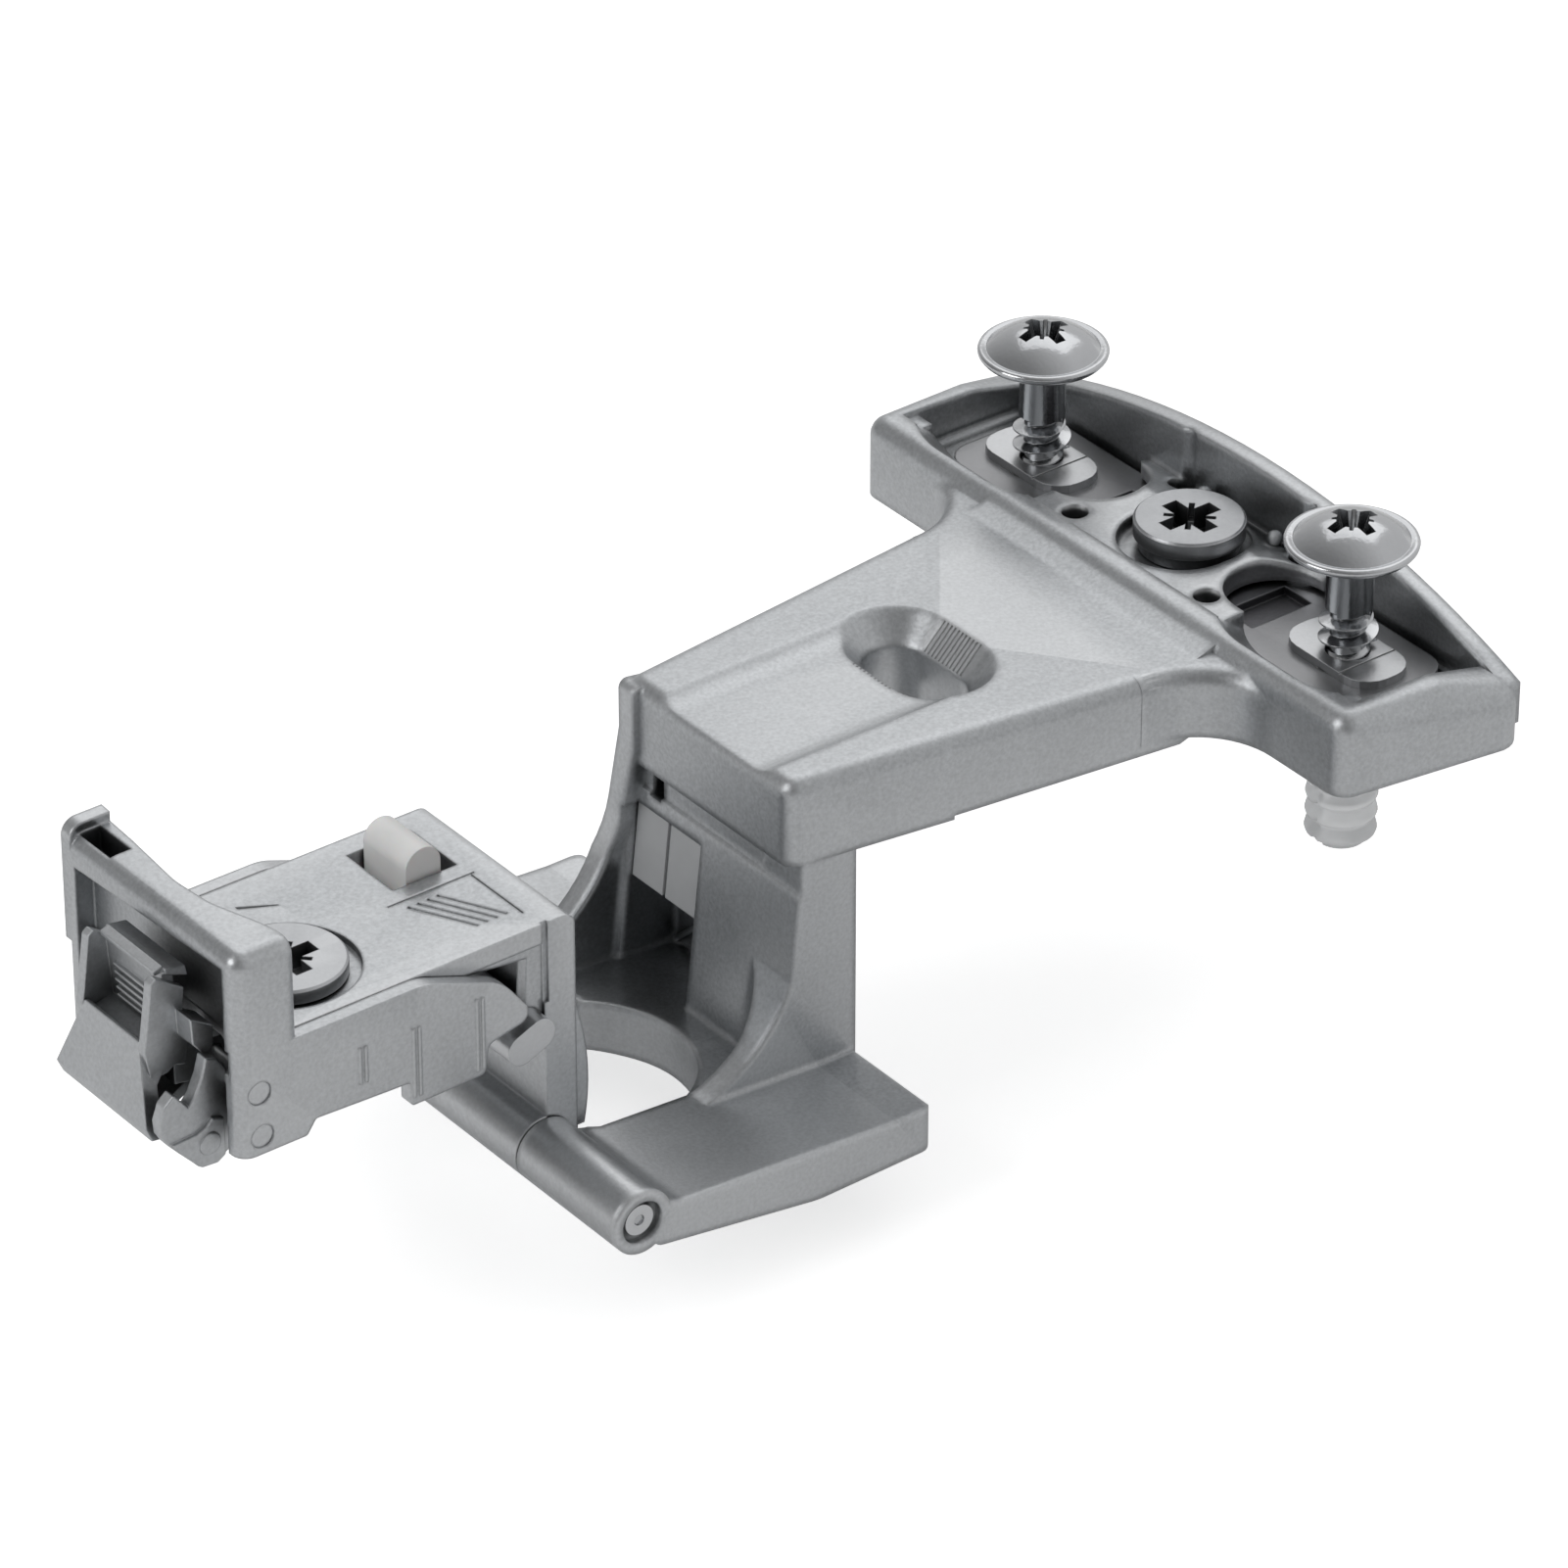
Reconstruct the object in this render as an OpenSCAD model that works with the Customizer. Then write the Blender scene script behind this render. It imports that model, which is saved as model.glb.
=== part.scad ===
// Clip-on cabinet hinge with a T-shaped front bracket.
// X runs from the arm to the T-head, Y along the hinge pin, Z up.
// The origin lies on the underside of the T-head, midway between its two dowels.

/* [T-head] */
// Distance between the two dowels
dowel_pitch = 32; // [28:0.5:36]
// Length of the T-head along Y at its front edge
head_len = 50.6; // [49:0.2:56]
// Front edge of the T-head, ahead of the dowel line
head_front = 8.3; // [8:0.1:9.5]
// Back edge of the T-head, behind the dowel line
head_back = 6.3; // [6.2:0.1:7]
// Height of the front rim
head_t = 6; // [5.6:0.1:7]
// Depth of the floor below the front rim
floor_drop = 0.5; // [0.3:0.1:0.8]
// Height of the arched back wall at its middle
crest_h = 9.1; // [8:0.1:10.5]
// Thickness of the arched back wall
crest_t = 1.3; // [1:0.1:1.5]
// Width of the front rim
rim_front = 2.2; // [1.6:0.1:2.6]
// Width of the end rims
rim_end = 2.5; // [1.8:0.1:3]
// Thickness of the floor round the screw windows
skin_t = 1.7; // [1.4:0.1:1.9]
// Radius of the rounded top edges
edge_r = 1.1; // [0.6:0.1:1.3]

/* [Neck] */
// Front end of the neck and face of the gussets
neck_front = 40.4; // [38:0.2:44]
// Width of the neck at its front end
neck_w0 = 16.8; // [16:0.2:19]
// Extra width of the neck on its far side, at the front end
neck_flare = 1.1; // [0:0.1:1.5]
// Width of the neck where it meets the T-head
neck_w1 = 26; // [22:0.5:30]
// Top of the neck
neck_top = 4.95; // [4.4:0.05:5.2]
// Depth of the neck below the mounting face
neck_drop = 1.3; // [1:0.1:1.6]
// Radius of the fillets between neck and T-head
neck_fillet = 6; // [3:0.5:8]
// Middle of the screw slot
slot_x = 23.6; // [22:0.2:26]
// Travel of the screw in its slot, to either side
slot_travel = 2.1; // [1.6:0.1:2.6]
// Diameter of the screw slot
slot_d = 4.4; // [3.6:0.1:4.8]
// Diameter of the countersink
sink_d = 8.2; // [7.4:0.1:9]
// Depth of the trough in the neck
trough_d = 0.55; // [0.3:0.05:0.8]

/* [Wall and foot] */
// Back face of the wall
wall_back = 35; // [34:0.2:36]
// Front face of the wall at the neck
wall_front = 39.3; // [38.6:0.1:39.6]
// Forward lean of the wall at its foot
wall_lean = 1.8; // [0.8:0.1:2]
// Width of the wall at the foot, to the far side of the middle
wall_far = 11.6; // [11.4:0.1:13]
// Thickness of each gusset
gusset_t = 1.7; // [1.2:0.1:1.8]
// Forward reach of the gussets on the foot
gusset_reach = 6; // [4:0.2:7]
// Height of the foot's top face below the mounting face
foot_drop = 17.3; // [16:0.1:19]
// Thickness of the foot at the wall
foot_t = 3.2; // [2.6:0.1:4]
// Rise of the foot's top face from the wall to the barrel
foot_rise = 1.2; // [0.4:0.1:1.4]
// Near edge of the foot
foot_near = 16.8; // [16:0.2:19]
// Far edge of the foot
foot_far = 21.8; // [20:0.2:24]
// Radius of the opening in the foot
foot_hole_r = 7.6; // [6.5:0.1:7.8]

/* [Hinge barrel] */
// Distance of the pin from the dowel line
pin_x = 58.65; // [58:0.05:59.4]
// Drop of the pin below the mounting face
pin_drop = 16.4; // [16:0.1:16.8]
// Outer diameter of the barrel
barrel_d = 4.6; // [4.2:0.1:4.8]
// Diameter of the pin
pin_d = 2.2; // [1.8:0.1:2.6]
// Diameter of the recess round the pin's end
pin_recess_d = 3.1; // [2.8:0.1:3.4]
// Radial clearance of the pin and the other pivots
pivot_fit = 0.04; // [0.02:0.01:0.08]

/* [Arm] */
// Near edge of the hinge leaf
leaf_near = 6.2; // [6:0.1:6.3]
// Far edge of the hinge leaf
leaf_far = 9.7; // [9.2:0.1:9.8]
// Top face of the arm
arm_top = 0.67; // [0.4:0.01:1]
// Thickness of the top plate
plate_t = 1.5; // [1.2:0.1:1.8]
// Thickness of the leaf's end plate
end_plate_t = 2.45; // [2:0.05:2.8]
// Thickness of the housing's side walls
side_t = 1.05; // [0.9:0.05:1.4]
// Gap between the sliding faces of the arm
slide_gap = 0.08; // [0.05:0.01:0.15]
// Front face of the clip block
block_front = 82.6; // [82:0.1:84]
// Depth of the clip block
block_d = 4.6; // [4.2:0.1:5]
// Height of the clip block
block_top = 8; // [7:0.1:9]
// Bottom of the clip block
block_bottom = 6.9; // [6.5:0.1:7.4]
// Travel of the depth adjustment, to either side
depth_travel = 0.7; // [0.4:0.1:0.75]
// Diameter of the depth cam's disc
disc_d = 8.1; // [7:0.1:8.2]
// Middle of the depth cam
disc_x = 74.1; // [73.8:0.1:74.4]

/* [Fixings] */
// Diameter of the screw heads
head_d = 9; // [8:0.1:9.4]
// Height of the screw heads' rims above the mounting face
head_lift = 12.4; // [11:0.1:14]
// Diameter of the screw shank
shank_d = 2.8; // [2.4:0.1:3]
// Diameter of the dowels
dowel_d = 4.9; // [4.5:0.1:5]
// Length of the dowels below the mounting face
dowel_len = 11.3; // [8:0.1:13]
// Number of ribs on a dowel
dowel_ribs = 7; // [5:1:9]
// Diameter of the height cam's disc
cam_d = 7.6; // [7:0.1:7.8]
// Offset of the height cam's pin
cam_offset = 1.8; // [1.2:0.1:1.9]

/* [Hidden] */
$fn = 64;
eps = 0.05;

// T-head
head_taper = 1.6;
head_r = 1.4;
floor_z = head_t - floor_drop;
pocket_front = head_front - rim_front;
crest_in = head_back - crest_t;
pocket_end = head_len / 2 + head_taper / 2 - rim_end;
window_r = head_d / 2 + 0.3;
screw_tip = -4.2;
thread_pitch = 1.05;
dowel_collar = 0.05;
dowel_core = 0.55;
window_y = dowel_pitch / 2 - 3.2;
window_neck_r = 3.85;
window_in_near = 5.3;
window_in_far = 6.5;
cavity_z = floor_z - skin_t;
crest_end_z = 3.7;
crest_half = head_len / 2 + head_taper;
crest_r = (pow(crest_half, 2) + pow(crest_h - crest_end_z, 2)) / (2 * (crest_h - crest_end_z));
dish_top_r = 7.9;
carrier_t = 1.9;
dplate_t = 0.6;
plate_z = cavity_z + 0.3;
carrier_z = plate_z - dplate_t - carrier_t;
carrier_w = 9;
carrier_l = dowel_pitch + 10.4;
height_travel = 1.5;
cam_hole_r = cam_d / 2 + 0.45;
journal_r = 3.05;
cam_pin_r = 1.15;
cam_top = head_t + 0.85;
cam_disc_t = 1.25;
cam_ledge_z = cavity_z + 0.8;

// Neck, wall and foot
neck_h = neck_top + neck_drop;
neck_end = head_front - 1;
neck_step_x = 28.2;
neck_step = 0.3;
neck_lip = neck_drop - 2 * neck_step;
foot_z = -foot_drop;
pin_z = -pin_drop;
gusset_r = 11.6;
far_arc_r = 10;
far_arc_z = -5;
arm_mid = (leaf_far - leaf_near) / 2;
knuckle_gap = 0.15;
corner_r = 2;
blend_r = 3.4;
pad_top = -5;
pad_bottom = -10.8;
pad_near = 2.1;
pad_far = 9.3;
groove_y = 6.6;

// Arm
barrel_r = barrel_d / 2;
leaf_left = pin_x - 0.25;
leaf_right = leaf_left - end_plate_t;
plate_left = block_front - 3;
plate_z0 = arm_top - plate_t;
side_near = leaf_near + slide_gap + side_t;
side_far = leaf_far + slide_gap + side_t;
deck_t = 1.5;
deck_z = plate_z0 - slide_gap;
deck_right = leaf_left + 9;
block_back = block_front - block_d;
web_z = -5.4;
stop_x = leaf_left + 1.95;
stop_z = -6.9;
disc_y = -0.2;
disc_hole_r = disc_d / 2 + depth_travel + 0.15;
disc_top = 1.35;
disc_t = 1;
disc_neck_d = 4.6;
disc_offset = 0.9;
disc_seat_z = arm_top - 0.5;
screw_bore_d = 3.2;
lever_x = leaf_left + 2.75;
lever_w = 2.7;
lever_near = 3;
lever_far = 7.7;
lever_top = 2.75;
switch_pivot_z = -2.2;
switch_pin_d = 1.6;
slot_near = lever_near - 0.25;
slot_far = lever_far + 0.25;
slot_x0 = lever_x + 2.55;
slot_x1 = lever_x - 2.45;
axle_d = 1.7;
lever_axle_x = block_front - 1.6;
lever_axle_z = -2.35;
catch_axle_x = block_front - 1.7;
catch_axle_z = -5.6;
thumb_near = -0.3;
thumb_far = 5.8;
block_far = 12;
lug_h = 0.7;
claw_near = 5.1;
claw_swing = 0.4;

// Corner points of a polygon with each corner rounded to its own radius [x, y, r]
function corner_arc(a, b, c, n) =
    let (p = [b[0], b[1]],
        u = unit([a[0], a[1]] - p),
        v = unit([c[0], c[1]] - p),
        half = acos(u * v) / 2,
        w = unit(u + v),
        m = p + w * (b[2] / sin(half)),
        t0 = p + u * (b[2] / tan(half)) - m,
        t1 = p + v * (b[2] / tan(half)) - m,
        a0 = atan2(t0[1], t0[0]),
        da = turn(atan2(t1[1], t1[0]) - a0))
    b[2] == 0 ? [p] : [for (i = [0:n]) m + b[2] * [cos(a0 + da * i / n), sin(a0 + da * i / n)]];
function unit(v) = v / norm(v);
function turn(a) = a > 180 ? a - 360 : a < -180 ? a + 360 : a;
function rounded(pts, n = 5) =
    [for (i = [0:len(pts) - 1])
        each corner_arc(pts[(i + len(pts) - 1) % len(pts)], pts[i], pts[(i + 1) % len(pts)], n)];

// Extrudes an outline drawn in X and Z along Y, from y0 to y1
module side_profile(y0, y1) {
    translate([0, y1, 0]) rotate([90, 0, 0]) linear_extrude(y1 - y0) children();
}

module box(x0, x1, y0, y1, z0, z1) {
    translate([x0, y0, z0]) cube([x1 - x0, y1 - y0, z1 - z0]);
}

// Oblong hole along Y
module oblong(r, travel, z0, z1) {
    for (s = [-1, 1]) translate([0, s * travel, z0]) cylinder(r = r, h = z1 - z0);
    box(-r, r, -travel, travel, z0, z1);
}

// Cross recess for a screwdriver, cut down from z
module cross_recess(z, w, depth) {
    for (a = [0, 90]) rotate(a)
        translate([-w / 2, -w * 0.14, z - depth]) cube([w, w * 0.28, depth + 0.4]);
    for (a = [45, 135]) rotate(a)
        translate([-w * 0.4, -w * 0.045, z - depth * 0.6]) cube([w * 0.8, w * 0.09, depth]);
    translate([0, 0, z - depth]) cylinder(d = w * 0.5, h = depth + 0.4);
}

// Post with a rounded top edge, as one corner of a hulled casting
module post(x, y, z0, z1, r) {
    translate([x, y, z0]) rotate_extrude($fn = 24) {
        square([r, z1 - z0 - r]);
        translate([0, z1 - z0 - r]) intersection() {
            circle(r = r, $fn = 24);
            square(r);
        }
    }
}

module head_slab() {
    hull() for (s = [-1, 1]) {
        post(-head_front + head_r, s * (head_len / 2 - head_r), 0, head_t, head_r);
        post(head_back - corner_r, s * (head_len / 2 + head_taper - corner_r), 0, crest_end_z + 1, corner_r);
        post(0, s * (head_len / 2 - 1), 0, head_t - 0.2, head_r);
    }
}

// Back wall of the T-head, arched along its length
module crest() {
    intersection() {
        box(crest_in, head_back, -crest_half + 0.9, crest_half - 0.9, 1, crest_h);
        translate([crest_in - 1, 0, crest_h - crest_r]) rotate([0, 90, 0])
            cylinder(r = crest_r, h = crest_t + 2, $fn = 180);
    }
}

// Dish in the front rim that lets a screw head down on to its plate
module dish() {
    z1 = head_t + 0.6;
    h = z1 - cavity_z;
    for (s = [-1, 1]) translate([0, s * 2.4, cavity_z])
        cylinder(r1 = window_r, r2 = dish_top_r, h = h);
    translate([0, 2.4, cavity_z]) rotate([90, 0, 0]) linear_extrude(4.8)
        polygon([[-window_r, 0], [0, 0], [0, h], [-dish_top_r, h]]);
}

module head_cuts() {
    // Shallow floor behind the front rim
    box(-pocket_front, crest_in, -pocket_end, pocket_end, floor_z, crest_h + 1);
    // Screw windows, open down to the carrier
    for (s = [-1, 1]) {
        intersection() {
            union() {
                inner = (s > 0 ? window_in_far : window_in_near) + window_neck_r;
                translate([0, s * inner, cavity_z - 1]) cylinder(r = window_neck_r, h = 8);
                scale([1, s, 1]) box(-window_neck_r, crest_in, inner, window_y + 1, cavity_z - 1, crest_h);
                translate([0, s * window_y, cavity_z - 1]) cylinder(r = window_r, h = 8);
                scale([1, s, 1]) box(-window_r, crest_in, window_y, pocket_end, cavity_z - 1, crest_h);
            }
            box(-window_r, crest_in, -pocket_end, pocket_end, 0, crest_h);
        }
        translate([0, s * dowel_pitch / 2, 0]) intersection() {
            dish();
            box(-head_front + 0.3, 0, -6, 6, 0, crest_h);
        }
    }
    // Hole for the cam's disc, drawn out towards the neck, and the cam's bearing
    for (x = [-0.9, 0]) translate([x - 0.25, 0, cam_ledge_z]) cylinder(r = cam_hole_r, h = 4);
    translate([-0.25, 0, cavity_z - 1]) cylinder(r = journal_r + pivot_fit, h = 4);
    // Small holes at the cam's corners
    for (p = [[4.3, 6.3], [-4.5, 6.9], [-4.5, -6.9], [4.3, -6.3]])
        translate([p[0], p[1], cavity_z - 1]) cylinder(d = 1.9, h = 6, $fn = 24);
    // Room for the carrier on the underside
    box(-carrier_w / 2 - slide_gap, carrier_w / 2 + slide_gap, -carrier_l / 2 - height_travel - 0.3,
        carrier_l / 2 + height_travel + 0.3, -1, cavity_z);
}

// Middle of the fillet that touches both the neck's slanting side and the T-head
function fillet_y(s) =
    let (side = neck_w0 / 2 + (s > 0 ? neck_flare : 0),
        slope = (neck_w1 / 2 - side) / (neck_front - edge_r - neck_end - 1))
    side + slope * (neck_front - edge_r - head_front - neck_fillet) + neck_fillet / cos(atan(slope));

module neck() {
    hull() for (s = [-1, 1]) {
        post(-neck_front + edge_r, s * (neck_w0 / 2 - edge_r) + (s > 0 ? neck_flare : 0),
            -neck_drop, neck_top, edge_r);
        post(-neck_end - 1, s * (neck_w1 / 2 - edge_r), -neck_drop, neck_top, edge_r);
    }
    // Fillets in plan between the neck and the T-head, with the same rounded top edge
    for (s = [-1, 1]) let (near = neck_w1 / 2 - 3, far = fillet_y(s)) intersection() {
        box(-head_front - neck_fillet, -head_front + 1,
            s > 0 ? near : -far, s > 0 ? far : -near, 0, neck_top);
        translate([-head_front - neck_fillet, s * far, 0])
            rotate_extrude() polygon(concat(
                [[neck_fillet + 7, 0], [neck_fillet + 7, neck_top]],
                [for (a = [0:15:90])
                    [neck_fillet + edge_r * (1 - sin(a)), neck_top - edge_r * (1 - cos(a))]],
                [[neck_fillet, 0]]));
    }
    // Sloping fillet between the neck's top and the higher rim
    side_profile(-neck_w1 / 2 + 1, neck_w1 / 2 - 1)
        polygon([[-head_front - 1.3, neck_top - 1], [-head_front - 1.3, neck_top],
            [-head_front - 0.5, neck_top + 0.25], [-head_front + 0.6, head_t - 0.45],
            [-head_front + 2, head_t - 0.6], [-head_front + 2, neck_top - 1]]);
}

module neck_cuts() {
    // The underside steps up twice, clear of the mounting face
    side_profile(-30, 30) polygon([[-neck_step_x, -neck_drop - 1], [-neck_step_x, -neck_drop + neck_step],
        [-head_front - 3, -neck_lip], [-head_front - 1.5, 0],
        [-head_front + 2, 0], [-head_front + 2, -neck_drop - 1]]);
    // Oblong countersunk slot for the third screw
    translate([-slot_x, 0, 0]) {
        oblong(slot_d / 2, slot_travel, -neck_drop - 1, neck_top + 1);
        h = sink_d / 2 - slot_d / 2;
        for (s = [-1, 1]) translate([0, s * slot_travel, neck_top - h])
            cylinder(d1 = slot_d, d2 = sink_d + 0.4, h = h + 0.2);
        side_profile(-slot_travel, slot_travel)
            polygon([[-slot_d / 2, neck_top - h], [slot_d / 2, neck_top - h],
                [sink_d / 2 + 0.2, neck_top + 0.2], [-sink_d / 2 - 0.2, neck_top + 0.2]]);
        // Serrated straight sides that keep the screw where it is set
        for (s = [-1, 1], i = [-5:5]) translate([s * (slot_d + h) / 2, i * 0.38, neck_top - h / 2])
            rotate([0, -45 * s, 0]) cube([h * 1.3, 0.17, 0.24], center = true);
    }
    // Trough in the top face, with its rounded sides, from the front edge to the slot
    trough_r = 2.6;
    trough_half = neck_w0 / 2 - 1.5;
    translate([-slot_x - 1, 0, 0]) rotate([0, -90, 0]) linear_extrude(neck_front)
        polygon(concat(
            [for (a = [0:15:90]) [neck_top + trough_r - trough_d - trough_r * cos(a) ,
                trough_half - trough_r + trough_r * sin(a)]],
            [for (a = [90:-15:0]) [neck_top + trough_r - trough_d - trough_r * cos(a),
                -trough_half + trough_r - trough_r * sin(a)]]));
}

// Side outline of the near gusset: down the wall's edge and out on to the foot in one arc
module near_gusset_outline() {
    z0 = foot_z + gusset_r;
    polygon(concat(
        [[-wall_back, foot_z - 0.5], [-wall_back, neck_top - 2], [-wall_front - 0.1, neck_top - 2]],
        [for (a = [0:7.5:75]) [-wall_front - 0.1 - gusset_r * (1 - cos(a)), z0 - gusset_r * sin(a)]],
        [[-wall_front - 0.1 - gusset_r * (1 - cos(75)), foot_z - 0.5]]));
}

// Side outline of the far gusset: a straight edge in front of the wall, then an arc on to the foot
module far_gusset_outline() {
    f = wall_front + 1.5;
    polygon(concat([[-wall_back, foot_z - 0.5], [-wall_back, neck_top - 1.2]],
        rounded([[-wall_back, neck_top - 1.2, 0], [-f, neck_top - 0.3, 0.6], [-f, far_arc_z, 0]]),
        [for (a = [0:6.25:50]) [-f - far_arc_r * (1 - cos(a)), far_arc_z - far_arc_r * sin(a)]],
        [[-f - gusset_reach - 1.9, foot_z - 0.2], [-f - gusset_reach - 1.9, foot_z - 0.5]]));
}

module wall() {
    near = neck_w0 / 2;
    far = neck_w0 / 2 + neck_flare;
    // Plate between the gussets, leaning forward to the foot
    side_profile(-near, wall_far)
        polygon([[-wall_back, foot_z - 0.5], [-wall_back, -neck_drop + 0.2],
            [-wall_front, -3.7], [-wall_front - 0.25, -3.8],
            [-wall_front - wall_lean, foot_z - 0.5]]);
    box(-wall_front, -wall_back, -near, far - 0.3, -4, neck_top - trough_d - 0.4);
    side_profile(-near, -near + gusset_t) near_gusset_outline();
    far_gusset();
    // Hollow corner between the wall and the near gusset
    intersection() {
        side_profile(-near, -near + gusset_t + blend_r) near_gusset_outline();
        translate([-wall_front - wall_lean, 0, foot_z]) rotate([0, atan(wall_lean / 13.6), 0]) difference() {
            box(-blend_r, 3, -near + 0.2, -near + gusset_t + blend_r, -1, 20);
            translate([-blend_r, -near + gusset_t + blend_r, -2]) cylinder(r = blend_r, h = 24);
        }
    }
}

// The far gusset leans out from the neck to the foot; a groove parts it from the upper panel
module far_gusset() {
    top = neck_w0 / 2 + neck_flare;
    intersection() {
        side_profile(4, wall_far) far_gusset_outline();
        translate([-60, 0, 0]) rotate([90, 0, 90]) linear_extrude(30)
            polygon([[top - gusset_t, neck_top], [top, neck_top], [top, 1], [wall_far, -9],
                [wall_far, foot_z - 1], [wall_far - gusset_t, foot_z - 1], [wall_far - gusset_t, -9],
                [top - gusset_t, 0]]);
    }
}

module wall_cuts() {
    // The far side leans in from the foot to the neck
    top = neck_w0 / 2 + neck_flare;
    translate([-neck_front - 20, 0, 0]) rotate([90, 0, 90]) linear_extrude(neck_front + 21 - wall_back)
        polygon([[top, neck_top + 1], [top, 1], [wall_far, -9],
            [wall_far + 8, -9], [wall_far + 8, neck_top + 1]]);
    // Groove beside the upper panel
    box(-60, -wall_front + 1.2, groove_y, top - gusset_t + 0.02, -4, neck_top - 0.7);
    // Pocket that takes the switch lever when the arm is folded up
    box(-60, -wall_back - 1.3, pad_near, pad_far + 0.2, foot_z, pad_bottom);
    // Seat of the buffer
    box(-60, -wall_front + 0.9, pad_near, pad_far, pad_bottom - eps, pad_top);
}

// Two thin mould ribs that cross at the back of the pocket
module pocket_ribs() {
    mid_y = (pad_near + pad_far) / 2;
    mid_z = (pad_bottom + foot_z) / 2;
    intersection() {
        box(-wall_back - 1.7, -wall_back - 1.2, pad_near, pad_far, foot_z, pad_bottom);
        for (a = [-42, 42]) translate([-wall_back - 1.45, mid_y, mid_z]) rotate([a, 0, 0])
            cube([0.5, 12, 0.4], center = true);
    }
}

// Foot with its curved underside, drawn in X and Z
module foot_outline() {
    polygon(rounded([[-wall_back, foot_z, 0.4], [-wall_back, foot_z - foot_t, 0.6],
        [-wall_back - 9.5, foot_z - foot_t - 0.15, 8], [-pin_x + 1, pin_z - barrel_r, 1],
        [-pin_x + 0.2, pin_z, 0], [-pin_x + 1.6, foot_z + foot_rise + 0.5, 0],
        [-pin_x + barrel_r + 0.9, foot_z + foot_rise, 0.8], [-wall_back - 3, foot_z, 4]]));
}

// Opening that the leaf swings into: a half round towards the wall, a fork at the barrel
module foot_opening() {
    x0 = -pin_x - 6;
    x1 = -pin_x + 4.05;
    translate([0, 0, foot_z - foot_t - 2]) {
        intersection() {
            translate([-pin_x + 7.55, 0, 0]) cylinder(r = foot_hole_r, h = foot_t + 8);
            box(-pin_x, -wall_back, -leaf_near - 0.55, 20, -1, foot_t + 8);
        }
        linear_extrude(foot_t + 8)
            polygon(rounded([[x0, -leaf_near - knuckle_gap, 0], [x1, -leaf_near - knuckle_gap, 0],
                [x1 + 0.3, -leaf_near - 0.4, 0], [x1 + 3.6, -leaf_near - 0.4, 0], [x1 + 8, -3, 0],
                [x1 + 8, leaf_far + 0.25, 2.2], [x1 + 0.3, leaf_far + 0.25, 0],
                [x1, leaf_far + knuckle_gap, 0], [x0, leaf_far + knuckle_gap, 0]]));
    }
}

module foot() {
    intersection() {
        side_profile(-foot_near, foot_far) foot_outline();
        translate([0, 0, foot_z - foot_t - 2]) linear_extrude(foot_t + 6)
            polygon(rounded([[-wall_back, -foot_near, 1], [-wall_back, foot_far, 1],
                [-pin_x - 3, foot_far, 0], [-pin_x - 3, -foot_near, 0]]));
    }
    translate([-pin_x, foot_far, pin_z]) rotate([90, 0, 0]) cylinder(r = barrel_r, h = foot_near + foot_far);
}

module bracket() {
    color("silver") difference() {
        union() {
            difference() {
                union() {
                    head_slab();
                    crest();
                }
                head_cuts();
            }
            for (y = [-3.67, 3.67]) translate([4.15, y, floor_z - 0.2]) sphere(r = 0.55, $fn = 24);
            difference() {
                neck();
                neck_cuts();
                box(-head_front + rim_front - 0.6, 20, -30, 30, -3, 20);
            }
            difference() {
                wall();
                wall_cuts();
            }
            pocket_ribs();
            foot();
        }
        foot_opening();
        // Bore of the hinge pin, with a wider recess at each end
        translate([-pin_x, foot_far + 1, pin_z]) rotate([90, 0, 0])
            cylinder(d = pin_d, h = foot_near + foot_far + 2);
        for (y = [-foot_near, foot_far]) translate([-pin_x, y + 0.7, pin_z]) rotate([90, 0, 0])
            cylinder(d = pin_recess_d, h = 1.4);
    }
}

module wall_buffer() {
    color("gainsboro") difference() {
        side_profile(pad_near + 0.1, pad_far - 0.1)
            polygon([[-wall_front + 0.9, pad_bottom + 0.1], [-wall_front + 0.9, pad_top - 0.1],
                [-wall_front - 0.15, pad_top - 0.1], [-wall_front - 0.75, pad_bottom + 0.1]]);
        // Parting groove between its two cells
        box(-60, -wall_front + 0.1, 5.6, 5.9, pad_bottom - 1, pad_top + 1);
    }
}

module hinge_pin() {
    color("lightgray") difference() {
        translate([-pin_x, foot_far - 0.35, pin_z]) rotate([90, 0, 0])
            cylinder(d = pin_d, h = foot_near + foot_far - 0.7);
        for (y = [-foot_near, foot_far]) translate([-pin_x, y + 0.5, pin_z]) rotate([90, 0, 0])
            cylinder(d1 = y > 0 ? pin_d * 0.7 : pin_d * 0.3, d2 = y > 0 ? pin_d * 0.3 : pin_d * 0.7, h = 1);
    }
}

// Eccentric that shifts the carrier along the T-head
module height_cam() {
    color("lightgray") translate([-0.25, 0, 0]) difference() {
        union() {
            translate([0, 0, cam_top - cam_disc_t]) cylinder(d = cam_d, h = cam_disc_t - 0.15);
            translate([0, 0, cam_top - 0.2]) cylinder(d1 = cam_d, d2 = cam_d - 0.3, h = 0.2);
            translate([0, 0, cam_ledge_z + 0.05])
                cylinder(r = journal_r + 0.4, h = cam_top - cam_ledge_z - 0.5);
            translate([0, 0, cavity_z + 0.1]) cylinder(r = journal_r, h = cam_top - cavity_z - 0.5);
            translate([cam_offset, 0, carrier_z - 0.35])
                cylinder(r = cam_pin_r, h = cavity_z - carrier_z + 0.6);
        }
        cross_recess(cam_top, 4.4, 1.8);
    }
}

// Spring washer that holds the cam's pin under the carrier
module cam_clip() {
    color("dimgray") translate([cam_offset - 0.25, 0, carrier_z - 0.35]) difference() {
        cylinder(r = cam_pin_r + 0.9, h = 0.3);
        translate([0, 0, -1]) cylinder(r = cam_pin_r - 0.01, h = 3);
    }
}

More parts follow.
